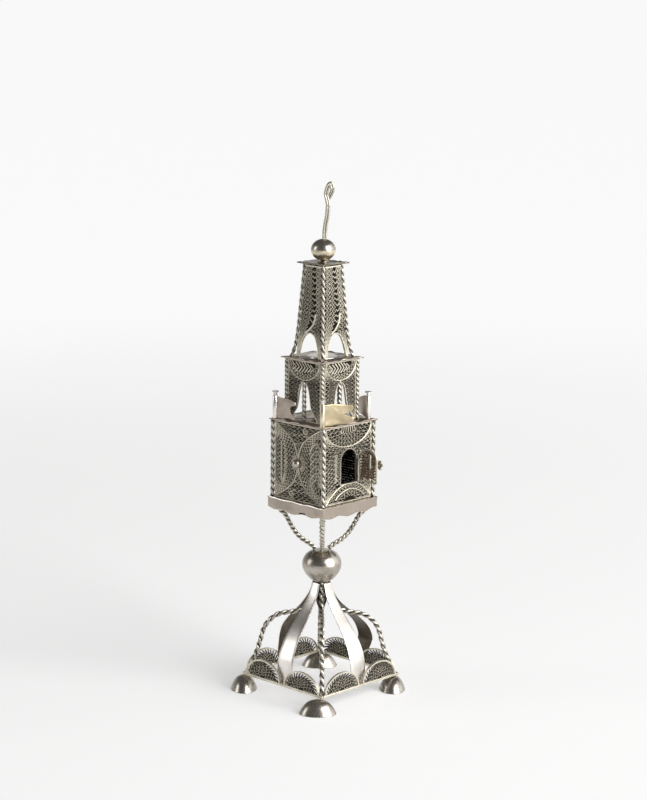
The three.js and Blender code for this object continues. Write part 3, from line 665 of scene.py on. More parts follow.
class Filigree:
    """The wires of one panel, gathered by kind before they are drawn."""

    def __init__(self, fine):
        """Start with no wires. Fine holds the sizes of the filigree wires."""
        self.fine = fine
        self.grounds, self.guides, self.crimps, self.strokes, self.strips = [], [], [], [], []
        self.open_strokes, self.beads = [], []

    def ground(self, reach, foot, head, free=None):
        """Level broad wires close together behind the pattern, kept out of an opening."""
        spacing = 1.12
        count = round((head - foot) / (self.fine.ground_width / MM * spacing))
        for k in range(count):
            y = foot + (head - foot) * (k + 0.5) / count
            side, inner = reach(y), free(y) if free else 0
            if inner:
                self.grounds += [line((-side, y), (-inner, y)), line((inner, y), (side, y))]
            else:
                self.grounds.append(line((-side, y), (side, y)))

    def fill(self, first, second, rows, plain=()):
        """Rows of crimped wire between two outlines, parted by plain wires.

        Plain rows have only plain wires.
        """
        step = 1.3
        count = max(2, round(max(path_length(first), path_length(second)) / step))
        lines = [between(first, second, k / rows, count) for k in range(rows + 1)]
        self.guides += lines[1:-1]
        for k, (a, b) in enumerate(zip(lines, lines[1:])):
            if k in plain:
                self.guides += [between(a, b, share, count) for share in (1 / 3, 2 / 3)]
            else:
                self.crimps.append(crimp(a, b, self.fine.crimp_pitch / MM))
        return lines

    def draw(self, shape, thick, proud=0.3, both=False):
        """Draw the wires into a shape, with one worked face or with both."""
        fine = self.fine
        middle = thick / 2
        add_wires(shape, self.grounds, fine.ground_width / MM, 0.22, lift=middle if both else 0.12)
        lift = middle if both else thick * 0.38
        add_wires(shape, self.guides, fine.guide_width / MM, thick * 0.7, 6, lift=lift)
        for wires, wide, deep in (
            (self.crimps, 1.0, 0.75),
            (self.strokes, 1.0, 0.8),
            (self.open_strokes, 1.6, 0.5),
            (self.beads, 0.8, 0.8),
        ):
            width, depth = fine.crimp_width / MM * wide, thick * (deep + 0.2 * both)
            lift = middle if both else thick * 0.62
            add_wires(shape, wires, width, depth, 6, lift=lift, closed=wires is self.beads)
        depth = thick / 2 + proud
        lift = thick + proud - depth / 2
        add_wires(shape, self.strips, fine.strip_width / MM, depth, sides=8, lift=lift, material=1)
        weather(shape, thick, both)


def add_frame(shape, half, height, width, thick):
    """The flat strip round a panel."""
    x, low_edge, top = half - width / 2, width / 2, height - width / 2
    strip = line((-x, low_edge), (x, low_edge), (x, top), (-x, top))
    add_wires(shape, [strip], width, thick * 0.8, lift=thick * 0.4, closed=True)


def merge(shape, other):
    """Put another shape's faces into this one."""
    rub_if_plain(other)
    wear_layer(shape)
    mesh = bpy.data.meshes.new("part")
    other.to_mesh(mesh)
    other.free()
    shape.from_mesh(mesh)
    bpy.data.meshes.remove(mesh)


def paint(shape, index):
    """Give all faces so far one of the piece's finishes."""
    for face in shape.faces:
        face.material_index = index


# Base.


def foot_shape():
    """A shallow oval dome with a thin rim, hollow below."""
    long, short, tall, wall = 7.9, 5.7, 6.2, 0.6
    # Both profiles as shares of the half width and of the height.
    outer = [(1, 0), (1, 0.04), (0.975, 0.085), (0.945, 0.15), (0.9, 0.27), (0.835, 0.42), (0.73, 0.6),
             (0.585, 0.77), (0.41, 0.9), (0.2, 0.975), (0, 1)]
    inner = [(0, 1 - wall / tall), (0.38, 0.8), (0.66, 0.52), (0.8, 0.26), (0.9, 0.08), (0.93, 0)]
    shape = bmesh.new()
    add_spun(shape, [(short * reach, tall * rise) for reach, rise in outer + inner], closed=False)
    rim = [(short * 0.93, 0), (short, 0)]
    add_spun(shape, rim, closed=False)
    bmesh.ops.remove_doubles(shape, verts=shape.verts, dist=1e-4)
    bmesh.ops.scale(shape, vec=(1, long / short, 1), verts=shape.verts)
    return shape


class SPICETOWER_OT_feet(bpy.types.Operator):
    """Four oval feet, each in its own place"""

    bl_idname = "spicetower.feet"
    bl_label = "Feet"

    def execute(self, context):
        """Spin the domes and set them on the frame's own places."""
        for corner, degrees in CORNERS.items():
            node = f"foot_{corner}"
            middle = Vector((low(node, X) + high(node, X), low(node, Y) + high(node, Y), 0)) / 2
            shape = placed(foot_shape(), turned(degrees), Matrix.Translation(middle))
            finish_piece(shape, f"foot_dome_{corner}", [node], "sheet_silver")
        return {"FINISHED"}


# The filigree of one lunette, inside its frame.
LUNETTE_HALF, LUNETTE_TALL = 9.75, 7.65


def lunette_wires(fine):
    """One lunette of the base rail: slanted strokes under the rim, then crimped rows over a dark ground."""
    field, eye = 0.74, 0.16
    work = Filigree(fine)
    rim = arc((0, 0), LUNETTE_HALF - 0.45, LUNETTE_TALL - 0.45)
    vein, inner = (arc((0, 0), LUNETTE_HALF * share, LUNETTE_TALL * share) for share in (field, eye))
    work.open_strokes += ladder(rim, vein, 1.7, 1)
    work.fill(vein, inner, 4)
    work.guides.append(vein)
    work.ground(lambda y: LUNETTE_HALF * field * math.sqrt(1 - (y / LUNETTE_TALL / field) ** 2), 0.1, 5.4)
    return work


class SPICETOWER_OT_base_rails(bpy.types.Operator):
    """Four flat rails, each with two filigree lunettes"""

    bl_idname = "spicetower.base_rails"
    bl_label = "Base rails"

    def execute(self, context):
        """Stand the lunettes on each rail."""
        fine = context.scene.spice_tower_filigree
        reach, gap, thick, strip = RAIL_HALF - 2.1, 1.2, 1.0, 1.1
        centre, half = (reach + gap) / 2, (reach - gap) / 2
        drawn = lunette_wires(fine)
        for side, degrees in SIDES.items():
            shape = bmesh.new()
            node = f"base_rail_{side}"
            axis = X if side in ("front", "back") else Y
            end = (high(node, axis) - low(node, axis)) / 2
            add_block(shape, (-end, 0, 0), (end, strip, thick))
            paint(shape, 1)
            for shift in (-centre, centre):
                step = Matrix.Translation((shift, strip - 0.1, 0))
                rim = [step @ spot for spot in arc((0, 0), half - 0.3, 7.7, count=40)]
                add_wires(shape, [rim], 0.6, thick, lift=thick / 2, material=1)
                lunette = bmesh.new()
                drawn.draw(lunette, thick * 0.85, both=True)
                placed(lunette, step @ Matrix.Translation((0, 0, thick * 0.075)))
                merge(shape, lunette)
            weather(shape, thick, both=True)
            placed(shape, standing(RAIL_HALF - thick, RAIL_BOTTOM), turned(degrees))
            finish_piece(
                shape, f"base_lunettes_{side}", [node], "filigree_silver", ("filigree_silver", "strip_silver")
            )
        return {"FINISHED"}


def arch_height(share):
    """A height between the rails' feet and the knop."""
    foot, head = low("base_strap_front", Z), high("base_strap_front", Z)
    return foot + (head - foot) * share


# How far a strap's bulge stands out, where the bulge starts as a share of the strap's height, and how far
# the strap's foot stands outside the rail.
STRAP_BENDS = {"front": (0, 0, 0), "right": (5, 0, 2), "back": (1.7, 0.22, 0), "left": (0, 0, 0)}


def smooth_share(value, start, end):
    """Rises smoothly from 0 to 1 between two values."""
    share = max(0.0, min(1.0, (value - start) / (end - start)))
    return share * share * (3 - 2 * share)


def strap_reach(side, foot, reach, rise):
    """A strap's reach at a share of its height: the common curve with the side's own bulge."""
    bulge, start, outside = STRAP_BENDS[side]
    swell = smooth_share(rise, start, start + 0.3) * (1 - smooth_share(rise, 0.45, 0.85))
    return foot * reach + bulge * swell + outside * (1 - smooth_share(rise, 0.3, 0.6))


class SPICETOWER_OT_straps(bpy.types.Operator):
    """Four polished straps from the rails to the knop"""

    bl_idname = "spicetower.straps"
    bl_label = "Straps"

    def execute(self, context):
        """Bend the straps and soften their edges."""
        thick, steps, top_width, foot_width = 0.6, 48, 4.1, 8.6
        # Shares of the foot's reach and of the height, from the knop down.
        curve = [(0.18, 1), (0.205, 0.95), (0.26, 0.875), (0.4, 0.76), (0.56, 0.652), (0.71, 0.554),
                 (0.84, 0.452), (0.93, 0.35), (0.985, 0.248), (1, 0.142), (1, 0)]
        foot = -low("base_strap_front", Y) - thick / 2
        for side, degrees in SIDES.items():
            knots = [(strap_reach(side, foot, reach, rise), arch_height(rise)) for reach, rise in curve]
            path = upright_path(knots, steps)
            shape = bmesh.new()

            def bend(across, along):
                share = (along + 1) / 2
                k = round(share * steps)
                run = (path[min(k + 1, steps)] - path[max(k - 1, 0)]).normalized()
                wide = top_width + (foot_width - top_width) * min(1, share * 1.45)
                # The flats are a little hollow across, from the planishing hammer.
                outwards = thick / 2 - 0.1 * (1 - across**2)
                return path[k] + Vector((-run.z, 0, run.x)) * -outwards + Vector((0, across * wide / 2, 0))

            add_sheet(shape, 6, steps, bend, thick - 0.1)
            soften(shape, sharp_edges(shape), 0.12)
            bmesh.ops.recalc_face_normals(shape, faces=shape.faces)
            # Faces turned inwards and downwards take the dark inner finish: unpolished tarnish, and painted
            # shade under the straps.
            for face in shape.faces:
                face.material_index = int(face.normal.x + 0.4 * face.normal.z < -0.35)
            placed(shape, turned(degrees - 90))
            finish_piece(
                shape, f"base_strap_{side}_polished", [f"base_strap_{side}"], "sheet_silver",
                ("rolled_silver", "inner_silver"),
            )
        return {"FINISHED"}


class SPICETOWER_OT_ribs(bpy.types.Operator):
    """Four twisted ribs from the base's corners to the knop"""

    bl_idname = "spicetower.ribs"
    bl_label = "Ribs"

    def execute(self, context):
        """Wind the ribs."""
        pitch = context.scene.spice_tower_wires.rib_pitch / MM
        radius = 1.15
        foot = 23.5 * math.sqrt(2) - radius * 1.2
        # Shares of the foot's reach and of the height, from the knop down.
        shares = [(0.1, 0.81), (0.2, 0.71), (0.38, 0.676), (0.55, 0.655), (0.65, 0.615), (0.735, 0.55),
                  (0.79, 0.463), (0.825, 0.36), (0.865, 0.258), (0.935, 0.13)]
        knots = [(1.8, KNOP_BOTTOM - 0.1), *((foot * reach, arch_height(rise)) for reach, rise in shares)]
        path = upright_path([*knots, (foot, RAIL_BOTTOM + 1.2)], 200)
        for corner, degrees in CORNERS.items():
            shape = bmesh.new()
            add_twist(shape, path, radius, pitch, Vector((0, 1, 0)))
            placed(shape, turned(degrees))
            if corner == "front_left":
                # The four ribs are bound and soldered into a bundle under the knop. Its dark inner finish is
                # painted shade under the knop.
                bundle = bmesh.new()
                core = upright_path([(0, KNOP_BOTTOM - 0.1), (0, KNOP_BOTTOM - 10)], 40)
                add_twist(bundle, core, 2.3, 9.5, Vector((0, 1, 0)), sides=16)
                drops = [(0, 8.4), (2.1, 8.6), (1.9, 9.8), (1.2, 12), (0.5, 13.2), (0, 13.4)]
                tip = [(reach, KNOP_BOTTOM - drop) for reach, drop in drops]
                add_spun(bundle, tip, steps=20, closed=False)
                paint(bundle, 1)
                merge(shape, bundle)
            finish_piece(
                shape, f"base_rib_{corner}_twist", [f"base_rib_{corner}"], "wire_silver",
                ("wire_silver", "inner_silver"),
            )
        return {"FINISHED"}


# Stem.


class SPICETOWER_OT_knop(bpy.types.Operator):
    """The knop, in two spun shells"""

    bl_idname = "spicetower.knop"
    bl_label = "Knop"

    def execute(self, context):
        """Spin both shells, to meet at the seam."""
        steps, wall = 20, 0.6
        # The greater the power, the smaller the flat round the wires looks.
        for name, start, flat, power, seam in (
            ("lower", KNOP_BOTTOM, 3.4, 2, KNOP_SEAM - 0.02),
            ("upper", KNOP_TOP, 3.6, 1.35, KNOP_SEAM + 0.02),
        ):
            outer = [(0, start)]
            for k in range(steps + 1):
                angle = math.pi / 2 * k / steps
                reach = flat + (KNOP_RADIUS - flat) * math.sin(angle) ** power
                outer.append((reach, start + (seam - start) * (1 - math.cos(angle))))
            inwards = wall if seam > start else -wall
            inner = [(max(reach - wall, 0), height + inwards) for reach, height in outer[:-2]]
            shape = bmesh.new()
            add_spun(shape, [*outer, (KNOP_RADIUS - wall, seam), *reversed(inner)], steps=96, closed=False)
            finish_piece(shape, f"knop_{name}_shell", [f"knop_{name}"], "sheet_silver")
        return {"FINISHED"}


class SPICETOWER_OT_brackets(bpy.types.Operator):
    """Four twisted brackets between the knop and the tray"""

    bl_idname = "spicetower.brackets"
    bl_label = "Brackets"

    def execute(self, context):
        """Wind the brackets."""
        pitch = context.scene.spice_tower_wires.bracket_pitch / MM
        foot, head = KNOP_TOP + 0.805, low("tray", Z) + 4.5
        # Shares of the reach and of the height, from the knop up.
        shares = [(0.15, 0), (0.25, 0.08), (0.4, 0.17), (0.53, 0.28), (0.63, 0.41), (0.715, 0.55),
                  (0.79, 0.675), (0.9, 0.775), (0.98, 0.88), (1, 1)]
        reach = (TRAY_HALF - 2.4) * math.sqrt(2)
        path = upright_path([(reach * share, foot + (head - foot) * rise) for share, rise in shares], 160)
        add_corner_wires("bracket", path, 1.1, pitch, steps=12)
        return {"FINISHED"}


class SPICETOWER_OT_tray(bpy.types.Operator):
    """The tray: a floor in a wavy skirt"""

    bl_idname = "spicetower.tray"
    bl_label = "Tray"

    def execute(self, context):
        """Bend the skirt round the floor."""
        tall, wave, thick, round_corner = 5.4, 0.42, 0.45, 0.5
        shape = bmesh.new()

        def bend(around, up):
            turn = (around + 1) * 2
            side = min(int(turn), 3)
            share = turn - side
            flat = TRAY_HALF * (2 * share - 1)
            # The thin skirt is buckled, most of all at its free lower edge.
            buckle = 0.3 * math.sin(9.7 * turn + 1.3) + 0.22 * math.sin(4.3 * turn + 0.4)
            buckle *= (1 - up) / 2 * (1 - (2 * share - 1) ** 4)
            edge = max(0, abs(flat) - TRAY_HALF + round_corner)
            out = TRAY_HALF - edge * 0.3 + buckle
            # Three waves along each side, on an edge that hangs a little lower in the middle.
            lower = FLOOR_TOP - tall + 0.6 + wave * math.cos(6 * math.pi * share + 0.8)
            lower += 0.3 * math.cos(2 * math.pi * share)
            height = lower + (FLOOR_TOP - lower) * (up + 1) / 2
            limit = TRAY_HALF - round_corner * 0.3
            return turned(90 * side) @ Vector((max(-limit, min(limit, flat)), -out, height))

        add_sheet(shape, 256, 6, bend, thick)
        soften(shape, sharp_edges(shape, 70), 0.1)
        inner = TRAY_HALF - thick
        add_block(shape, (-inner, -inner, FLOOR_TOP - 0.7), (inner, inner, FLOOR_TOP), 0.05)
        bead = [Vector((TRAY_HALF * x, TRAY_HALF * y, FLOOR_TOP - 0.2)) * 0.994 for x, y in
                ((-1, -1), (1, -1), (1, 1), (-1, 1))]
        bead = even([*bead, bead[0]], 160)[:-1]
        for k, spot in enumerate(bead):
            spot.z = FLOOR_TOP - 0.18 + 0.14 * math.sin(0.47 * k)
        add_wires(shape, [bead], 0.5, sides=8, closed=True)
        # Upright faces inside the skirt take the dark inner finish: tarnish, and painted shade inside the
        # tray.
        for face in shape.faces:
            middle = face.calc_center_median()
            face.normal_update()
            if max(abs(middle.x), abs(middle.y)) < TRAY_HALF - thick * 0.6 and abs(face.normal.z) < 0.5:
                face.material_index = 1
        finish_piece(shape, "tray_skirt", ["tray"], "sheet_silver", ("satin_silver", "inner_silver"))
        return {"FINISHED"}


# Box.


# Where the inner face of the box panels stands.
BOX_INNER = 14.2


class SPICETOWER_OT_box_wires(bpy.types.Operator):
    """Twisted wires up the corners of the box"""

    bl_idname = "spicetower.box_wires"
    bl_label = "Box wires"

    def execute(self, context):
        """Wind the corner wires of the box."""
        reach = (16 - 0.9) * math.sqrt(2)
        path = upright_path([(reach, BOX_BOTTOM), (reach, BOX_TOP)], 80)
        add_corner_wires("box_wire", path, 1.02, context.scene.spice_tower_wires.box_pitch / MM)
        return {"FINISHED"}


def stand_copies(drawn, storey, sides, inner_face, bottom, finish, shift=SHIFTED):
    """Stand a copy of a drawn panel on each of the sides of a storey."""
    for side in sides:
        shape = placed(drawn.copy(), standing(inner_face, bottom), turned(SIDES[side]), shift)
        finish_piece(
            shape, f"{storey}_filigree_{side}", [f"{storey}_panel_{side}"], "filigree_silver",
            ("filigree_silver", "strip_silver", *finish),
        )
    drawn.free()


def rosette_panel(fine):
    """A box panel: two curves that meet at a boss, a veined field, nested arches, fans and scrolls."""
    half, tall, thick = 14.0, BOX_TOP - BOX_BOTTOM, 0.9
    middle = tall / 2
    work = Filigree(fine)
    shape = bmesh.new()
    work.ground(lambda y: half - 0.4, 0.4, tall - 0.4)
    # From a corner to the boss, by place across and by distance from the middle.
    quarter = [(-13.7, 16.1), (-10, 14.2), (-6, 11.6), (-3, 9), (-1, 5.4), (-0.4, 2.4)]
    upper = [(x, middle + rise) for x, rise in quarter]
    lower = [(x, middle - rise) for x, rise in reversed(quarter)]
    curve = smooth_path([*upper, (-0.3, middle), *lower], 48)
    other = mirrored([curve])[0]
    work.strips += [curve, other]
    # The left field flows from the curve to an upright vein, with speckled columns behind it.
    vein = smooth_path([(-13.5, 28.4), (-11.4, 27.2), (-9.9, 24.8), (-9.8, 16.5), (-9.9, 8.2), (-11.4, 5.8),
                        (-13.5, 4.6)], 36)
    rows = work.fill(curve, vein, 6)
    work.strokes += ladder(rows[4][6:-6], rows[5][6:-6], 1.1, -1)
    work.strips.append(vein[7:-7])
    work.fill(vein, line((-13.5, 28.2), (-13.5, 4.8)), 3)
    # The right field flows from the other curve round nested arches.
    leaf = smooth_path([(13.5, 28.6), (11, 28.4), (8.6, 26.6), (6.8, 22.5), (6.2, 16.5), (6.8, 10.5),
                        (8.6, 7), (11, 5), (13.5, 4.4)], 36)
    work.fill(other, leaf, 4)
    work.guides.append(leaf)
    bend = [(6.9, -4.2), (8.4, -2.0), (10.4, -0.2), (11.4, -0.2), (12.4, -1.5), (13.4, -3.4)]
    crowns = (26.6, 23.4, 20.3, 17.2, 14.1, 11.2)
    arches = [smooth_path([(x, crown + drop) for x, drop in bend], 20) for crown in crowns]
    work.strokes += arches
    work.fill(leaf[:14], arches[0][::-1], 2)
    for first, second in zip(arches, arches[1:]):
        work.fill(first, second, 2)
        work.strokes.append([first[12] + Vector((0.1, -0.8, 0)), first[12] + Vector((-0.5, -1.9, 0))])
    work.fill(arches[-1][2:-2], line((8.6, 6.6), (12.8, 4.8)), 3)
    # The fans above and below the boss spread from a few lines into many.
    for edge in (curve[:25], curve[:23:-1]):
        for rows, start, end in ((2, 15, 22), (4, 9, 15), (8, 1, 9)):
            part = edge[start : end + 1]
            work.fill(part, mirrored([part])[0], rows)
    work.strokes.append(spiral((4.3, middle + 14.0), 1.6, 1.4, 90))
    work.strokes.append(spiral((-4.3, middle - 14.0), 1.6, 1.4, -90))
    # Short rays to both sides of the boss.
    for k in range(-4, 5):
        reach = Vector((math.cos(k * 0.25), math.sin(k * 0.25), 0))
        spot = Vector((0, middle, 0))
        work.strokes += [[spot + reach * hand * 2.2, spot + reach * hand * 4.0] for hand in (1, -1)]
    work.draw(shape, thick)
    add_frame(shape, half, tall, 0.5, thick)
    boss = bmesh.new()
    bmesh.ops.create_uvsphere(boss, u_segments=28, v_segments=16, radius=1.98)
    placed(boss, Matrix.Translation((0, middle, thick + 0.8)))
    paint(boss, 2)
    merge(shape, boss)
    return shape


class SPICETOWER_OT_box_panels(bpy.types.Operator):
    """Three box panels with a rosette and a boss"""

    bl_idname = "spicetower.box_panels"
    bl_label = "Box panels"

    def execute(self, context):
        """Draw one panel and stand a copy on each side without the door."""
        drawn = rosette_panel(context.scene.spice_tower_filigree)
        sides = ("right", "back", "left")
        stand_copies(drawn, "box", sides, BOX_INNER, BOX_BOTTOM, ["sheet_silver"], CENTRED)
        return {"FINISHED"}


# The doorway's half width, and the heights of its sill and of the foot of its arch in the front panel.
DOOR_HALF, DOOR_SILL, DOOR_SPRING = 4.7, 8.2, 18.1
HINGE_X = DOOR_HALF + 0.55
KNUCKLE_FOOT, KNUCKLE_HEAD, KNUCKLE = DOOR_SILL + 0.3, DOOR_SPRING - 0.1, 2.6


def door_arch(half, sill, middle=0.0):
    """An arched outline, from the right of the sill over the crown to the left."""
    return [*line((middle + half, sill)), *arc((middle, DOOR_SPRING), half, half, 0, 180, 24),
            *line((middle - half, sill))]


def add_cylinder(shape, radius, tall):
    """A round bar about the Z axis, its middle at the origin."""
    return bmesh.ops.create_cone(
        shape, cap_ends=True, segments=20, radius1=radius, radius2=radius, depth=tall
    )["verts"]


def add_rod(shape, radius, foot, head, x=0.0, out=0.0):
    """An upright round rod in a panel, with softened ends."""
    verts = add_cylinder(shape, radius, head - foot)
    edges = {edge for vert in verts for edge in vert.link_edges}
    rims = [edge for edge in edges if abs(edge.verts[0].co.z - edge.verts[1].co.z) < 1e-6]
    stand = Matrix.Translation((x, (foot + head) / 2, out)) @ Matrix.Rotation(-math.pi / 2, 4, "X")
    bmesh.ops.transform(shape, matrix=stand, verts=verts)
    soften(shape, rims, 0.08)


def door_panel(fine):
    """The front panel: two lunettes, fields that flow round the doorway, strips and fixed knuckles."""
    half, tall, thick = 14.0, BOX_TOP - BOX_BOTTOM, 0.9
    work = Filigree(fine)
    shape = bmesh.new()
    jamb = door_arch(DOOR_HALF + 0.25, DOOR_SILL)
    doorway = door_arch(DOOR_HALF + 0.3, DOOR_SILL - 0.3)
    work.ground(lambda y: half - 0.4, 0.4, tall - 0.4, lambda y: across_at(doorway, y))
    top = arc((-0.4, tall), half - 0.4, -9.0, 0, 180, 40)
    fan = arc((-0.4, tall), 5.6, -3.4, 0, 180, 40)
    work.fill(top, fan, 3)
    work.guides.append(fan)
    work.strokes += [line((-0.4 + 1.2 * k, tall - 0.5), (-0.4 + 1.5 * k, tall - 3.0)) for k in range(-3, 4)]
    foot = smooth_path([(13.6, 0.5), (9.6, 4.8), (5.6, 7.3), (0.6, 8.0), (-4.4, 7.3), (-9.2, 4.8),
                        (-13.6, 0.5)], 40)
    inner = smooth_path([(10.6, 0.6), (7.8, 3.3), (4.6, 4.9), (0.8, 5.6), (-3, 4.9), (-6.4, 3.3),
                         (-9.2, 0.6)], 40)
    heart = smooth_path([(5, 0.5), (3.6, 1.8), (0.8, 2.6), (-2, 1.8), (-3.4, 0.5)], 40)
    work.fill(foot, inner, 2)
    work.fill(inner, heart, 2)
    work.strips += [top, foot, inner[3:-3]]
    work.fill(door_arch(DOOR_HALF + 1.9, DOOR_SILL), door_arch(DOOR_HALF + 0.6, DOOR_SILL), 1)
    for hand in (1, -1):
        edge = [spot for spot in door_arch(DOOR_HALF + 2.0, 6.9)[::hand] if hand * spot.x >= 1.5]
        low_arc = [spot for spot in foot[::hand] if hand * spot.x > 6.7]
        top_arc = [spot for spot in top[::hand] if hand * spot.x > 2.2]
        outer = line((hand * (half - 0.6), 0.6), (hand * (half - 0.6), tall - 0.6))
        work.fill(outer, [*low_arc, *edge, *reversed(top_arc)], 4)
        work.beads += rings(line((hand * 7.5, 10.2), (hand * 7.5, 20.6)), 0.6, 1.6)
    work.draw(shape, thick)
    add_frame(shape, half, tall, 0.5, thick)
    add_wires(shape, [even(jamb, 60)], 0.3, thick + 0.15, lift=(thick + 0.15) / 2, material=1)
    sill = line((-DOOR_HALF - 0.5, DOOR_SILL - 0.25), (DOOR_HALF + 0.5, DOOR_SILL - 0.25))
    add_wires(shape, [sill], 0.45, thick + 0.2, lift=(thick + 0.2) / 2, material=1)
    for start in (KNUCKLE_FOOT, KNUCKLE_HEAD - KNUCKLE):
        knuckle = bmesh.new()
        add_rod(knuckle, 0.7, start, start + KNUCKLE, HINGE_X, thick + 0.8)
        add_block(knuckle, (HINGE_X, start, thick / 2), (HINGE_X + 0.7, start + KNUCKLE, thick + 0.8))
        paint(knuckle, 2)
        merge(shape, knuckle)
    return shape


class SPICETOWER_OT_door_panel(bpy.types.Operator):
    """The front panel with its doorway"""

    bl_idname = "spicetower.door_panel"
    bl_label = "Door panel"

    def execute(self, context):
        """Draw the panel and stand it on the front side."""
        drawn = door_panel(context.scene.spice_tower_filigree)
        stand_copies(drawn, "box", ["front"], BOX_INNER, BOX_BOTTOM, ["sheet_silver"], CENTRED)
        return {"FINISHED"}


# The pin stands at the door's edge, outside the panel, and the door stands open at rest.
DOOR_PIN = Matrix.Translation((HINGE_X, -16.7 + 0.8, BOX_BOTTOM))
DOOR_OPEN = DOOR_PIN @ turned(94) @ Matrix.Rotation(math.pi / 2, 4, "X")


class SPICETOWER_OT_door(bpy.types.Operator):
    """The door leaf, its pin and the turning latch"""

    bl_idname = "spicetower.door"
    bl_label = "Door"

    def execute(self, context):
        """Draw the door shut, then open it about its pin."""
        self.leaf(context.scene.spice_tower_filigree)
        self.latch()
        shape = bmesh.new()
        add_rod(shape, 0.35, KNUCKLE_FOOT - 0.4, KNUCKLE_HEAD + 0.4)
        for start in (KNUCKLE_FOOT - 0.4, KNUCKLE_HEAD + 0.08):
            add_rod(shape, 0.55, start, start + 0.32)
        placed(shape, DOOR_OPEN)
        finish_piece(shape, "door_hinge_pin", ["door_pin"], "wire_silver")
        return {"FINISHED"}

    def leaf(self, fine):
        """The leaf: a flat rim, an open band, and filigree within an arched strip."""
        shape = bmesh.new()
        thick, sill = 0.6, DOOR_SILL + 0.1
        middle, half = -HINGE_X, DOOR_HALF + 0.1
        work = Filigree(fine)
        outlines = [door_arch(half - inset, sill + inset, middle) for inset in (0.35, 1.9, 3.3, 4.4)]
        work.open_strokes += ladder(outlines[0], outlines[1], 1.4, 1)
        for first, second in zip(outlines[1:], outlines[2:]):
            work.fill(first, second, 1)
            work.guides.append(even(second, 24))
        work.ground(lambda y: half - 1.9, sill + 1.9, DOOR_SPRING + 1.5)
        for spots in work.grounds:
            for spot in spots:
                spot.x += middle
        work.strips += [even(outlines[1], 40)]
        work.draw(shape, thick, 0, both=True)
        weather(shape, thick, True, 0.4)
        rim = outlines[0]
        add_wires(shape, [even([*rim, rim[0]], 72)[:-1]], 0.7, thick, lift=thick / 2, closed=True, material=1)
        placed(shape, Matrix.Translation((0, 0, -thick / 2)))
        knuckle = bmesh.new()
        foot, head = KNUCKLE_FOOT + KNUCKLE + 0.08, KNUCKLE_HEAD - KNUCKLE - 0.08
        add_rod(knuckle, 0.7, foot, head)
        add_block(knuckle, (-1.3, foot, -thick / 2), (0, head, thick / 2))
        paint(knuckle, 1)
        merge(shape, knuckle)
        placed(shape, DOOR_OPEN)
        finish_piece(
            shape, "door_leaf_filigree", ["door_leaf"], "filigree_silver", ("inner_filigree", "strip_silver"),
            body="door",
        )

    def latch(self):
        """A lobed knob outside, a shaft through the leaf and a tongue inside."""
        shape = bmesh.new()
        # The tongue turns behind the door panel with a little play. The knob stands outside the leaf.
        near, knob = -0.3 - 0.5 - 0.9 - 0.2, 0.3 + 3.7
        half_width, length, thick = 0.6, 4.9, 0.5
        add_block(shape, (-half_width, -half_width, near - thick), (half_width, length, near), 0.15)
        # The shaft, and the washer outside the leaf.
        for radius, foot, head in ((0.5, near - thick, knob), (0.9, 0.38, 0.88)):
            verts = add_cylinder(shape, radius, head - foot)
            bmesh.ops.translate(shape, vec=(0, 0, (foot + head) / 2), verts=verts)
        for k in range(6):
            petal = Matrix.Rotation(math.radians(60 * k), 4, "Z") @ Matrix.Translation((1.45, 0, knob))
            petal = petal @ Matrix.Diagonal((0.9, 0.78, 0.55, 1))
            bmesh.ops.create_uvsphere(shape, u_segments=16, v_segments=10, radius=1, matrix=petal)
        heart = Matrix.Translation((0, 0, knob + 0.35)) @ Matrix.Diagonal((1.1, 1.1, 0.95, 1))
        bmesh.ops.create_uvsphere(shape, u_segments=20, v_segments=12, radius=1, matrix=heart)
        placed(shape, Matrix.Translation((-7.8, 15.7, 0)), DOOR_OPEN)
        finish_piece(shape, "door_latch_knob", ["door_latch"], "gilt_silver", ("drawn_silver",), body="latch")


# Plates, posts and flags.


def plate_shape(tip, side, thick, segments=32):
    """A thin square plate: drawn-out corners, two shallow lobes along each side and a wavy rim."""
    shape = bmesh.new()
    lobe_end = 0.77
    rim = bmesh.ops.create_circle(shape, cap_ends=True, segments=4 * segments, radius=1)["verts"]
    for k, vert in enumerate(rim):
        t = 2 * (k % segments) / segments - 1
        lobe = abs(math.sin(math.pi * t / lobe_end)) if abs(t) < lobe_end else 0
        out = side + (tip - side) * abs(t) ** 5 + side / 15.6 * 0.9 * (lobe - 0.6)
        vert.co = turned(90 * (k // segments)) @ Vector((t * tip, -out, 0))
    bmesh.ops.inset_region(shape, faces=shape.faces[:], thickness=side * 0.09)
    for k, vert in enumerate(rim):
        t = 2 * (k % segments) / segments - 1
        vert.co.z = 0.22 * math.sin(4.4 * math.pi * t + k // segments) * (1 - t**4)
    faces = shape.faces[:]
    bmesh.ops.recalc_face_normals(shape, faces=faces)
    made = bmesh.ops.extrude_face_region(shape, geom=faces)["geom"]
    upper = [item for item in made if isinstance(item, bmesh.types.BMVert)]
    bmesh.ops.translate(shape, vec=(0, 0, thick), verts=upper)
    bmesh.ops.recalc_face_normals(shape, faces=shape.faces)
    soften(shape, sharp_edges(shape, 70), 0.14)
    return shape


# The posts' places on the roof plate, and the way that each flag points at rest, in degrees from +X.
POST_REACH = 13.9 * math.sqrt(2)
FLAG_REST = {"front_left": -26, "front_right": 63, "back_right": 45, "back_left": 263}


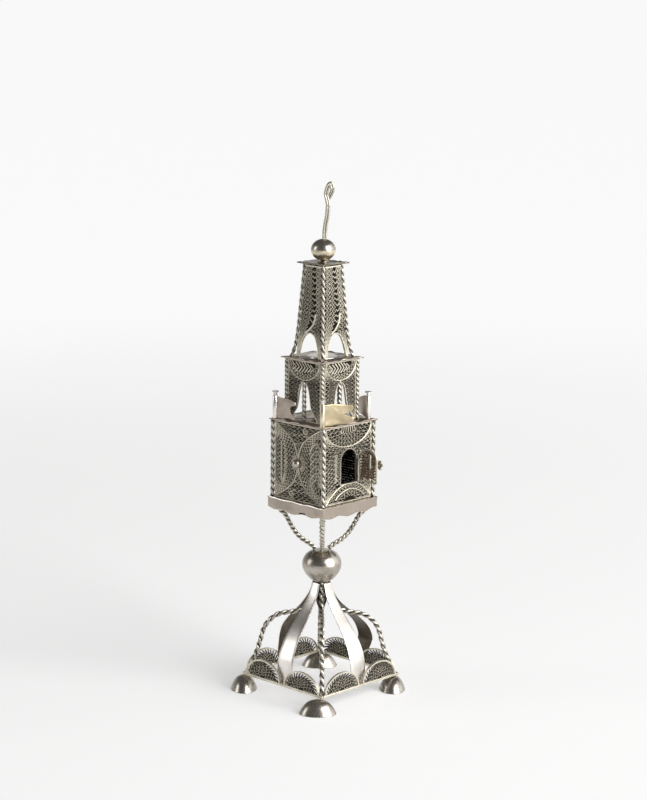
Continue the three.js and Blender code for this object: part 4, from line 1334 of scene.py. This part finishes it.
class SPICETOWER_OT_roof(bpy.types.Operator):
    """The roof plate with its four flag posts"""

    bl_idname = "spicetower.roof"
    bl_label = "Roof"

    def execute(self, context):
        """Cut the plate and spin the posts."""
        thick = 0.6
        shape = placed(plate_shape(16.6, 15.6, thick), Matrix.Translation((0, 0, ROOF_BOTTOM)))
        foot = ROOF_BOTTOM + thick / 2
        # The knob at the top of a post, by radius and by distance from its top.
        knob = [(0.5, 1.95), (0.9, 1.9), (0.95, 1.6), (0.62, 1.2), (0.7, 0.85), (1.3, 0.62), (1.45, 0.5),
                (1.45, 0.12), (1.3, 0), (0, 0)]
        profile = [(0, foot), (0.5, foot), *((radius, POST_TOP - drop) for radius, drop in knob)]
        for degrees in CORNERS.values():
            post = bmesh.new()
            add_spun(post, profile, steps=24, closed=False)
            placed(post, Matrix.Translation((POST_REACH, 0, 0)), turned(degrees), SHIFTED)
            merge(shape, post)
        finish_piece(shape, "roof_plate_posts", ["roof_plate"], "sheet_silver", ("rolled_silver",))
        return {"FINISHED"}


class SPICETOWER_OT_flags(bpy.types.Operator):
    """Four swallow-tailed flags rolled round their posts"""

    bl_idname = "spicetower.flags"
    bl_label = "Flags"

    def execute(self, context):
        """Bend the leaves, roll the sleeves and turn each flag to where it rests."""
        length, head, foot, thick, sleeve = 13.8, 9.7, 0.5, 0.36, 1.15
        for number, (corner, degrees) in enumerate(CORNERS.items()):
            shape = bmesh.new()

            def bend(along, up):
                across = (up + 1) / 2
                # Each flag's tail is notched in its own way, with ragged ends.
                notch = 4.0 * max(0, 1 - abs(up) / 0.37)
                if corner == "back_left":
                    notch = 4.0 * math.sqrt(max(0, 1 - (up / 0.55) ** 2))
                if corner == "front_right":
                    notch = 3.0 * max(0, up) ** 2
                ragged = 0.4 * math.sin(23 * up + number) * max(0, 1 - abs(up) / 0.8)
                tail = length - notch - 0.5 * max(0, abs(up) - 0.75) * 4 - abs(ragged)
                start = sleeve * 0.75
                reach = start + (tail - start) * (along + 1) / 2
                share = reach / length
                # The leaf narrows towards its tail, its edges are wavy, and it is bowed and buckled.
                low_edge = foot + 0.8 * share**2 + 0.12 * math.sin(11 * share + number)
                top_edge = head - 0.8 * share + 0.14 * math.sin(9 * share + 2 * number)
                top_edge -= 3.4 * share**2 if corner == "front_right" else 0
                buckle = 0.13 * math.sin(5 * share + 2 * up + number) * share
                out = 0.7 * math.sin(math.pi * share) + buckle
                return Vector((reach, out + thick / 2, low_edge + (top_edge - low_edge) * across))

            add_sheet(shape, 24, 20, bend, thick)
            soften(shape, sharp_edges(shape, 60), 0.09)
            roll = bmesh.new()
            outside = [(1.05, 0.08), (sleeve, 0.2), (sleeve, head - 0.12), (1.05, head)]
            add_spun(roll, [(0.62, 0.08), *outside, (0.62, head)], steps=28)
            merge(shape, roll)
            place = Vector((POST_REACH, 0, ROOF_TOP))
            placed(shape, turned(FLAG_REST[corner]), Matrix.Translation(turned(degrees) @ place), SHIFTED)
            slot = "gilt_silver" if corner == "front_left" else "sheet_silver"
            finish = {"front_left": "gilt_silver", "front_right": "rolled_silver"}.get(corner, "satin_silver")
            finish_piece(shape, f"flag_{corner}_leaf", [f"flag_{corner}"], slot, (finish,), f"{corner}_flag")
        return {"FINISHED"}


# Belfry.

# Half the distance between the middle lines of two corner wires.
BELFRY_HALF = 11.4 - 0.85


class SPICETOWER_OT_belfry_wires(bpy.types.Operator):
    """Twisted wires up the corners of the belfry"""

    bl_idname = "spicetower.belfry_wires"
    bl_label = "Belfry wires"

    def execute(self, context):
        """Wind the corner wires of the belfry."""
        reach = BELFRY_HALF * math.sqrt(2)
        path = upright_path([(reach, BELFRY_BOTTOM), (reach, BELFRY_TOP)], 60)
        pitch = context.scene.spice_tower_wires.belfry_pitch / MM
        add_corner_wires("belfry_wire", path, 0.95, pitch, SHIFTED)
        return {"FINISHED"}


def belfry_panel(fine, mullion_pitch):
    """A belfry panel: a hanging lunette over a flared window with a twisted mullion."""
    half, tall, thick = 9.5, BELFRY_TOP - BELFRY_BOTTOM, 0.8
    shape = bmesh.new()
    work = Filigree(fine)
    lunette = arc((0, tall), half - 0.35, -8.0, 0, 180, 36)
    core = arc((0, tall), 6.9, -5.5, 0, 180, 36)
    edge = smooth_path([(8.3, 0.35), (7.9, 1.2), (6.2, 3.4), (4.7, 5.6), (3.95, 8.6), (3.4, 12), (2.5, 15),
                        (1.2, 16.6)], 30)
    work.ground(lambda y: half - 0.4, 0.4, tall - 0.4, lambda y: across_at(edge, y))
    work.fill(lunette, core, 2)
    work.guides.append(core)
    # Bold strokes in a row, like a feather on its side.
    for k in range(-3, 4):
        across, middle = 1.7 * k, tall - 2.7
        spread = 2.3 * (1 - (k / 5) ** 2)
        work.open_strokes.append(
            line((across - 1.6, middle + spread), (across + 0.4, middle), (across - 1.6, middle - spread))
        )
    work.strips.append(lunette)
    for hand in (1, -1):
        window = [Vector((hand * spot.x, spot.y, 0)) for spot in edge]
        top = [spot for spot in lunette if hand * spot.x > 1.4]
        top.sort(key=lambda spot: hand * spot.x)
        outer = line((hand * (half - 0.5), 0.4), (hand * (half - 0.5), tall - 0.5))
        work.fill(outer, [*window, *top], 3, plain=(1,))
    work.draw(shape, thick)
    for hand in (1, -1):
        window = [Vector((hand * (spot.x - 0.25), spot.y, 0)) for spot in edge]
        add_wires(shape, [window], 0.4, thick + 0.1, lift=thick / 2, material=1)
    add_frame(shape, half, tall, 0.4, thick)
    mullion = bmesh.new()
    add_twist(mullion, even(line((0, 0.3), (0, 17.2)), 40), 0.92, mullion_pitch, Vector((0, 0, 1)))
    placed(mullion, Matrix.Translation((0, 0, thick / 2)))
    paint(mullion, 2)
    merge(shape, mullion)
    return shape


class SPICETOWER_OT_belfry_panels(bpy.types.Operator):
    """Four belfry panels with windows"""

    bl_idname = "spicetower.belfry_panels"
    bl_label = "Belfry panels"

    def execute(self, context):
        """Draw one panel and stand a copy on each side."""
        scene = context.scene
        drawn = belfry_panel(scene.spice_tower_filigree, scene.spice_tower_wires.mullion_pitch / MM)
        stand_copies(drawn, "belfry", SIDES, BELFRY_HALF - 0.4, BELFRY_BOTTOM, ["wire_silver"])
        shape = plate_shape(12.6, 11.7, 0.6)
        disc = bmesh.new()
        profile = [(0, 0.3), (6.2, 0.3), (6.2, 0.75), (6.05, 0.95), (5.8, 1.02), (5.2, 1.06), (0, 1.1)]
        add_spun(disc, profile, closed=False)
        merge(shape, disc)
        placed(shape, Matrix.Translation((0, 0, low("belfry_plate", Z))), SHIFTED)
        finish_piece(shape, "belfry_plate_disc", ["belfry_plate"], "sheet_silver", ("rolled_silver",))
        return {"FINISHED"}


# Spire.

# The same half distance at the spire's foot and at its head.
SPIRE_FOOT, SPIRE_HEAD = 8.91 - 0.85, 6.25 - 0.85


class SPICETOWER_OT_spire_wires(bpy.types.Operator):
    """Leaning twisted wires of the spire"""

    bl_idname = "spicetower.spire_wires"
    bl_label = "Spire wires"

    def execute(self, context):
        """Wind the wires, their legs flared at the foot."""
        tall = SPIRE_TOP - SPIRE_BOTTOM
        knots = []
        for share in (0, 0.07, 0.15, 0.3, 0.5, 0.75, 1):
            flare = 1.2 * max(0, 1 - share * tall / 10) ** 2
            reach = SPIRE_FOOT + (SPIRE_HEAD - SPIRE_FOOT) * share + flare
            knots.append((reach * math.sqrt(2), SPIRE_BOTTOM + share * tall))
        path = upright_path(knots, 80)
        pitch = context.scene.spice_tower_wires.spire_pitch / MM
        add_corner_wires("spire_wire", path, 0.85, pitch, SHIFTED)
        return {"FINISHED"}


def spire_panel(fine):
    """A spire panel: an arch at the foot, upright rows, a chain of chevrons and a long curved wire."""
    tall, thick = 38.9, 0.8
    foot, head = SPIRE_FOOT - 0.65, SPIRE_HEAD - 0.65
    shape = bmesh.new()
    work = Filigree(fine)
    strip = smooth_path([(-2.6, 10.5), (-0.6, 11.9), (1.3, 13.9), (2.6, 16.6), (2.8, 20.5), (2.5, 26),
                         (2.1, 31), (1.7, 38.4)], 40)
    arch = smooth_path([(6.3, 0.3), (5.75, 3), (4.75, 6.4), (3.4, 9.2), (1.6, 10.5), (0, 10.9)], 20)
    mirror = mirrored([arch])[0]
    left_edge = line((-foot + 0.3, 0.4), (-head + 0.3, tall - 0.4))
    right_edge = line((foot - 0.3, 0.4), (head - 0.3, tall - 0.4))
    work.ground(
        lambda y: foot - 0.3 + (head - foot) * y / tall, 0.4, tall - 0.5, lambda y: across_at(arch, y)
    )
    gap = [spot + Vector((-2.1, 0.6, 0)) for spot in strip[6:]]
    work.fill(left_edge, [*mirror[:-4], *gap], 4)
    work.guides.append(strip[16:])
    work.strokes += feather([spot + Vector((-1.05, 0, 0)) for spot in strip[9:]], 0.95, 0.9, 2.3)
    work.fill(right_edge, [*arch, *strip[10:]], 3)
    work.draw(shape, thick)
    # The foot of the long wire is broad and lies on the others.
    add_wires(shape, [strip[:15]], 0.85, 0.5, lift=thick - 0.02, sides=8, material=1)
    for side in (arch, mirror):
        rim = [Vector((spot.x - math.copysign(0.25, side[0].x), spot.y - 0.1, 0)) for spot in side]
        add_wires(shape, [rim], 0.4, thick + 0.1, lift=thick / 2, material=1)
    top = line((-head, tall - 0.25), (head, tall - 0.25))
    add_wires(shape, [top], 0.5, thick, lift=thick / 2, material=1)
    lean = math.atan2(SPIRE_FOOT - SPIRE_HEAD, SPIRE_TOP - SPIRE_BOTTOM)
    return placed(shape, Matrix.Translation((0, 0.2, -thick / 2)), Matrix.Rotation(-lean, 4, "X"))


class SPICETOWER_OT_spire_panels(bpy.types.Operator):
    """Four tapered spire panels, and the plate above them"""

    bl_idname = "spicetower.spire_panels"
    bl_label = "Spire panels"

    def execute(self, context):
        """Draw one panel and lean a copy on each side."""
        drawn = spire_panel(context.scene.spice_tower_filigree)
        stand_copies(drawn, "spire", SIDES, SPIRE_FOOT, SPIRE_BOTTOM, [])
        shape = plate_shape(7.9, 6.9, 0.6, 24)
        collar = bmesh.new()
        profile = [(0, 0.3), (2.6, 0.5), (2.45, 0.75), (2.2, 0.85), (2.2, 1.1), (0, 1.15)]
        add_spun(collar, profile, steps=32, closed=False)
        merge(shape, collar)
        placed(shape, Matrix.Translation((0, 0, TOP_PLATE_BOTTOM)), SHIFTED)
        finish_piece(shape, "spire_plate_collar", ["spire_plate"], "sheet_silver")
        return {"FINISHED"}


# Ball and hanging wire.


class SPICETOWER_OT_ball(bpy.types.Operator):
    """The ball in two shells, and the bent hanging wire"""

    bl_idname = "spicetower.ball"
    bl_label = "Ball and hanging wire"

    def execute(self, context):
        """Spin the shells and bend the wire's two strands."""
        radius, steps = (high("ball_lower", X) - low("ball_lower", X)) / 2, 18
        for name, end, slot in (("lower", BALL_BOTTOM, "gilt_silver"), ("upper", BALL_TOP, "sheet_silver")):
            outer, inner = [], []
            for k in range(steps + 1):
                angle = math.pi / 2 * k / steps
                rise = (end - BALL_SEAM) * math.sin(angle)
                outer.append((radius * math.cos(angle), BALL_SEAM + rise))
                inner.append(((radius - 0.5) * math.cos(angle), BALL_SEAM + rise * 0.89))
            shape = bmesh.new()
            add_spun(shape, outer + inner[::-1], steps=72)
            bmesh.ops.dissolve_degenerate(shape, dist=1e-4, edges=shape.edges)
            placed(shape, SHIFTED)
            finish_piece(shape, f"ball_{name}_shell", [f"ball_{name}"], slot)
        # One strand makes the outside of the eye and the other one its inner turn.
        outer = [(0.0, 0), (0.1, 3.2), (0.45, 6.2), (0.95, 9), (1.25, 11.8), (1.3, 14.2), (0.95, 16.3),
                 (0.5, 18), (0.6, 19.6), (1.1, 21.4), (1.9, 22.75), (2.9, 23.2), (3.75, 22.4), (3.95, 20.6),
                 (3.6, 19.1), (2.95, 17.7), (2.25, 16.5)]
        inner = [(0.95, 0), (1.05, 3.2), (1.4, 6.2), (1.9, 9), (2.2, 11.8), (2.2, 14.2), (1.85, 16.2),
                 (1.45, 17.9), (1.45, 19.6), (1.95, 21.1), (2.6, 21.7), (3.05, 20.9), (2.95, 19.5),
                 (2.4, 18.3), (2.0, 17.5)]
        shape = bmesh.new()
        for knots, count in ((outer, 90), (inner, 84)):
            path = upright_path([(x, WIRE_FOOT + z) for x, z in knots], count)
            add_wires(shape, [path], 1.1, sides=12)
        placed(shape, turned(CORNERS["front_right"]), SHIFTED)
        finish_piece(shape, "hanging_wire_strands", ["hanging_wire"], "wire_silver", ("drawn_silver",))
        return {"FINISHED"}


# Stage.


def floor_material():
    """Matt card: near white to the eye and in the metal, and it keeps the object's soft shadows."""
    material = bpy.data.materials.new("matt_pale_card")
    material.use_nodes = True
    tree = material.node_tree
    tree.nodes.clear()
    place = add_node(tree, "ShaderNodeTexCoord").outputs["Object"]
    reach = add_node(tree, "ShaderNodeVectorMath", [(0, place)], operation="LENGTH").outputs["Value"]
    smooth = {"interpolation_type": "SMOOTHSTEP"}
    far = add_node(tree, "ShaderNodeMapRange", [("Value", reach)], From_Min=0.2, From_Max=1.1, **smooth)
    far = far.outputs["Result"]
    glow = add_node(tree, "ShaderNodeMapRange", [("Value", far)], To_Min=0.45, To_Max=0.945)
    near_card, far_card = linear("#D4D4D4"), linear("#202020")
    card = add_node(tree, "ShaderNodeMix", [("Factor", far)], data_type="RGBA", A=near_card, B=far_card)
    rays = add_node(tree, "ShaderNodeLightPath").outputs
    # The card glows for the eye and in reflections, and it lights nothing matt.
    seen = rays["Is Camera Ray"]
    for kind in ("Is Glossy Ray", "Is Transmission Ray"):
        either = add_node(tree, "ShaderNodeMath", [(0, seen), (1, rays[kind])], operation="MAXIMUM")
        seen = either.outputs["Value"]
    # Beside the rosette side, outside the picture, the room is dark: that side of the tower mirrors it.
    beside = add_node(tree, "ShaderNodeVectorMath", [(0, place)], operation="DOT_PRODUCT")
    beside.inputs[1].default_value = (-0.84, 0.545, 0)
    span = {"From_Min": 0.32, "From_Max": 0.8, "To_Min": 1.0, "To_Max": 0.45}
    dark = add_node(tree, "ShaderNodeMapRange", [("Value", beside.outputs["Value"])], **smooth, **span)
    whole = [(0, dark.outputs["Result"]), (1, rays["Is Camera Ray"])]
    lit = add_node(tree, "ShaderNodeMath", whole, operation="MAXIMUM")
    power = glow.outputs["Result"]
    for factor in (seen, lit.outputs["Value"]):
        product = add_node(tree, "ShaderNodeMath", [(0, power), (1, factor)], operation="MULTIPLY")
        power = product.outputs["Value"]
    light = add_node(tree, "ShaderNodeEmission", [("Strength", power)], Color=linear("#FFFFFF"))
    matt = add_node(tree, "ShaderNodeBsdfDiffuse", [("Color", card.outputs["Result"])])
    both = add_node(tree, "ShaderNodeAddShader", [(0, light.outputs["Emission"]), (1, matt.outputs["BSDF"])])
    add_node(tree, "ShaderNodeOutputMaterial", [("Surface", both.outputs["Shader"])])
    return material


def area_lamp(name, angle, elevation, distance, width, height, watts):
    """A softbox that faces the tower from a direction in degrees, its sizes in metres."""
    light = bpy.data.lights.new(name, "AREA")
    light.shape = "RECTANGLE"
    light.size = width
    light.size_y = height
    light.energy = watts
    lamp = bpy.data.objects.new(name, light)
    turn, rise = math.radians(angle), math.radians(elevation)
    towards = Vector((math.cos(turn) * math.cos(rise), math.sin(turn) * math.cos(rise), math.sin(rise)))
    lamp.location = Vector((0, 0, 0.1)) + towards * distance
    lamp.rotation_euler = towards.to_track_quat("Z", "Y").to_euler()
    lamp.visible_camera = False
    bpy.context.scene.collection.objects.link(lamp)


class SPICETOWER_OT_stage(bpy.types.Operator):
    """Set the pale floor, the soft lamps and the camera"""

    bl_idname = "spicetower.stage"
    bl_label = "Stage"

    def execute(self, context):
        """Build the floor, lamps, world and camera."""
        sizes = context.scene.spice_tower_stage
        shape = bmesh.new()
        reach, rise = sizes.floor_reach, sizes.backdrop_height
        turn_behind = sizes.camera_azimuth + math.pi / 2
        rim = arc((reach, rise), rise, rise, -90, 0, 12)
        add_spun(shape, [(0, 0), (reach / 2, 0), *((spot.x, spot.y) for spot in rim)], steps=96, closed=False)
        # The card rises high behind the tower and only a little on the camera's side.
        for vert in shape.verts:
            behind = Vector(vert.co[:2]).dot(Vector((math.cos(turn_behind), math.sin(turn_behind)))) / reach
            vert.co.z *= 0.12 + 0.88 * max(0, min(1, behind * 1.4 - 0.15)) ** 2
        mesh = bpy.data.meshes.new("floor")
        bmesh.ops.recalc_face_normals(shape, faces=shape.faces)
        shape.to_mesh(mesh)
        shape.free()
        mesh.shade_smooth()
        mesh.materials.append(floor_material())
        floor = bpy.data.objects.new("floor", mesh)
        context.scene.collection.objects.link(floor)

        area_lamp("key_lamp", 278, 24, 2.6, 1.9, 2.2, sizes.key_power)
        area_lamp("left_lamp", 140, 17, 2.6, 1.0, 1.4, sizes.left_power)
        area_lamp("right_lamp", 322, 24, 2.8, 2.0, 2.2, sizes.right_power)

        world = bpy.data.worlds.new("studio")
        world.use_nodes = True
        world.node_tree.nodes["Background"].inputs["Color"].default_value = (1, 0.985, 0.96, 1)
        world.node_tree.nodes["Background"].inputs["Strength"].default_value = sizes.room_level
        context.scene.world = world
        context.scene.view_settings.view_transform = "Standard"

        camera = bpy.data.objects.new("camera", bpy.data.cameras.new("camera"))
        camera.data.sensor_width = SENSOR
        camera.data.lens = sizes.focal_pixels * SENSOR / max(PHOTO_WIDTH, PHOTO_HEIGHT)
        turn = sizes.camera_azimuth
        camera.location = (
            sizes.camera_distance * math.sin(turn),
            -sizes.camera_distance * math.cos(turn),
            sizes.camera_height,
        )
        look = Matrix.Rotation(turn, 4, "Z") @ Matrix.Rotation(math.pi / 2 - sizes.camera_pitch, 4, "X")
        camera.rotation_euler = (look @ Matrix.Rotation(sizes.camera_roll, 4, "Z")).to_euler()
        context.scene.collection.objects.link(camera)
        context.scene.camera = camera
        return {"FINISHED"}


class SPICETOWER_PT_panel(bpy.types.Panel):
    """The tower's pieces, in the 3D view's sidebar"""

    bl_idname = "SPICETOWER_PT_panel"
    bl_label = "Spice tower"
    bl_space_type = "VIEW_3D"
    bl_region_type = "UI"
    bl_category = "Spice tower"

    def draw(self, context):
        """List the operators."""
        for step in STEPS:
            self.layout.operator(step.bl_idname)


STEPS = (
    SPICETOWER_OT_feet,
    SPICETOWER_OT_base_rails,
    SPICETOWER_OT_straps,
    SPICETOWER_OT_ribs,
    SPICETOWER_OT_knop,
    SPICETOWER_OT_brackets,
    SPICETOWER_OT_tray,
    SPICETOWER_OT_box_wires,
    SPICETOWER_OT_box_panels,
    SPICETOWER_OT_door_panel,
    SPICETOWER_OT_door,
    SPICETOWER_OT_roof,
    SPICETOWER_OT_flags,
    SPICETOWER_OT_belfry_wires,
    SPICETOWER_OT_belfry_panels,
    SPICETOWER_OT_spire_wires,
    SPICETOWER_OT_spire_panels,
    SPICETOWER_OT_ball,
    SPICETOWER_OT_stage,
)
GROUPS = {
    "spice_tower_finishes": SPICETOWER_PG_finishes,
    "spice_tower_wires": SPICETOWER_PG_wires,
    "spice_tower_filigree": SPICETOWER_PG_filigree,
    "spice_tower_stage": SPICETOWER_PG_stage,
}
CLASSES = (*GROUPS.values(), *STEPS, SPICETOWER_PT_panel)


def register():
    """Register the classes and the scene's property groups."""
    for kind in CLASSES:
        bpy.utils.register_class(kind)
    for name, group in GROUPS.items():
        setattr(bpy.types.Scene, name, bpy.props.PointerProperty(type=group))


def unregister():
    """Take the classes and the property groups away again."""
    for name in GROUPS:
        delattr(bpy.types.Scene, name)
    for kind in reversed(CLASSES):
        bpy.utils.unregister_class(kind)


def main():
    """Build the tower and its stage."""
    register()
    for step in STEPS:
        group, name = step.bl_idname.split(".")
        getattr(getattr(bpy.ops, group), name)()


if __name__ == "__main__":
    main()
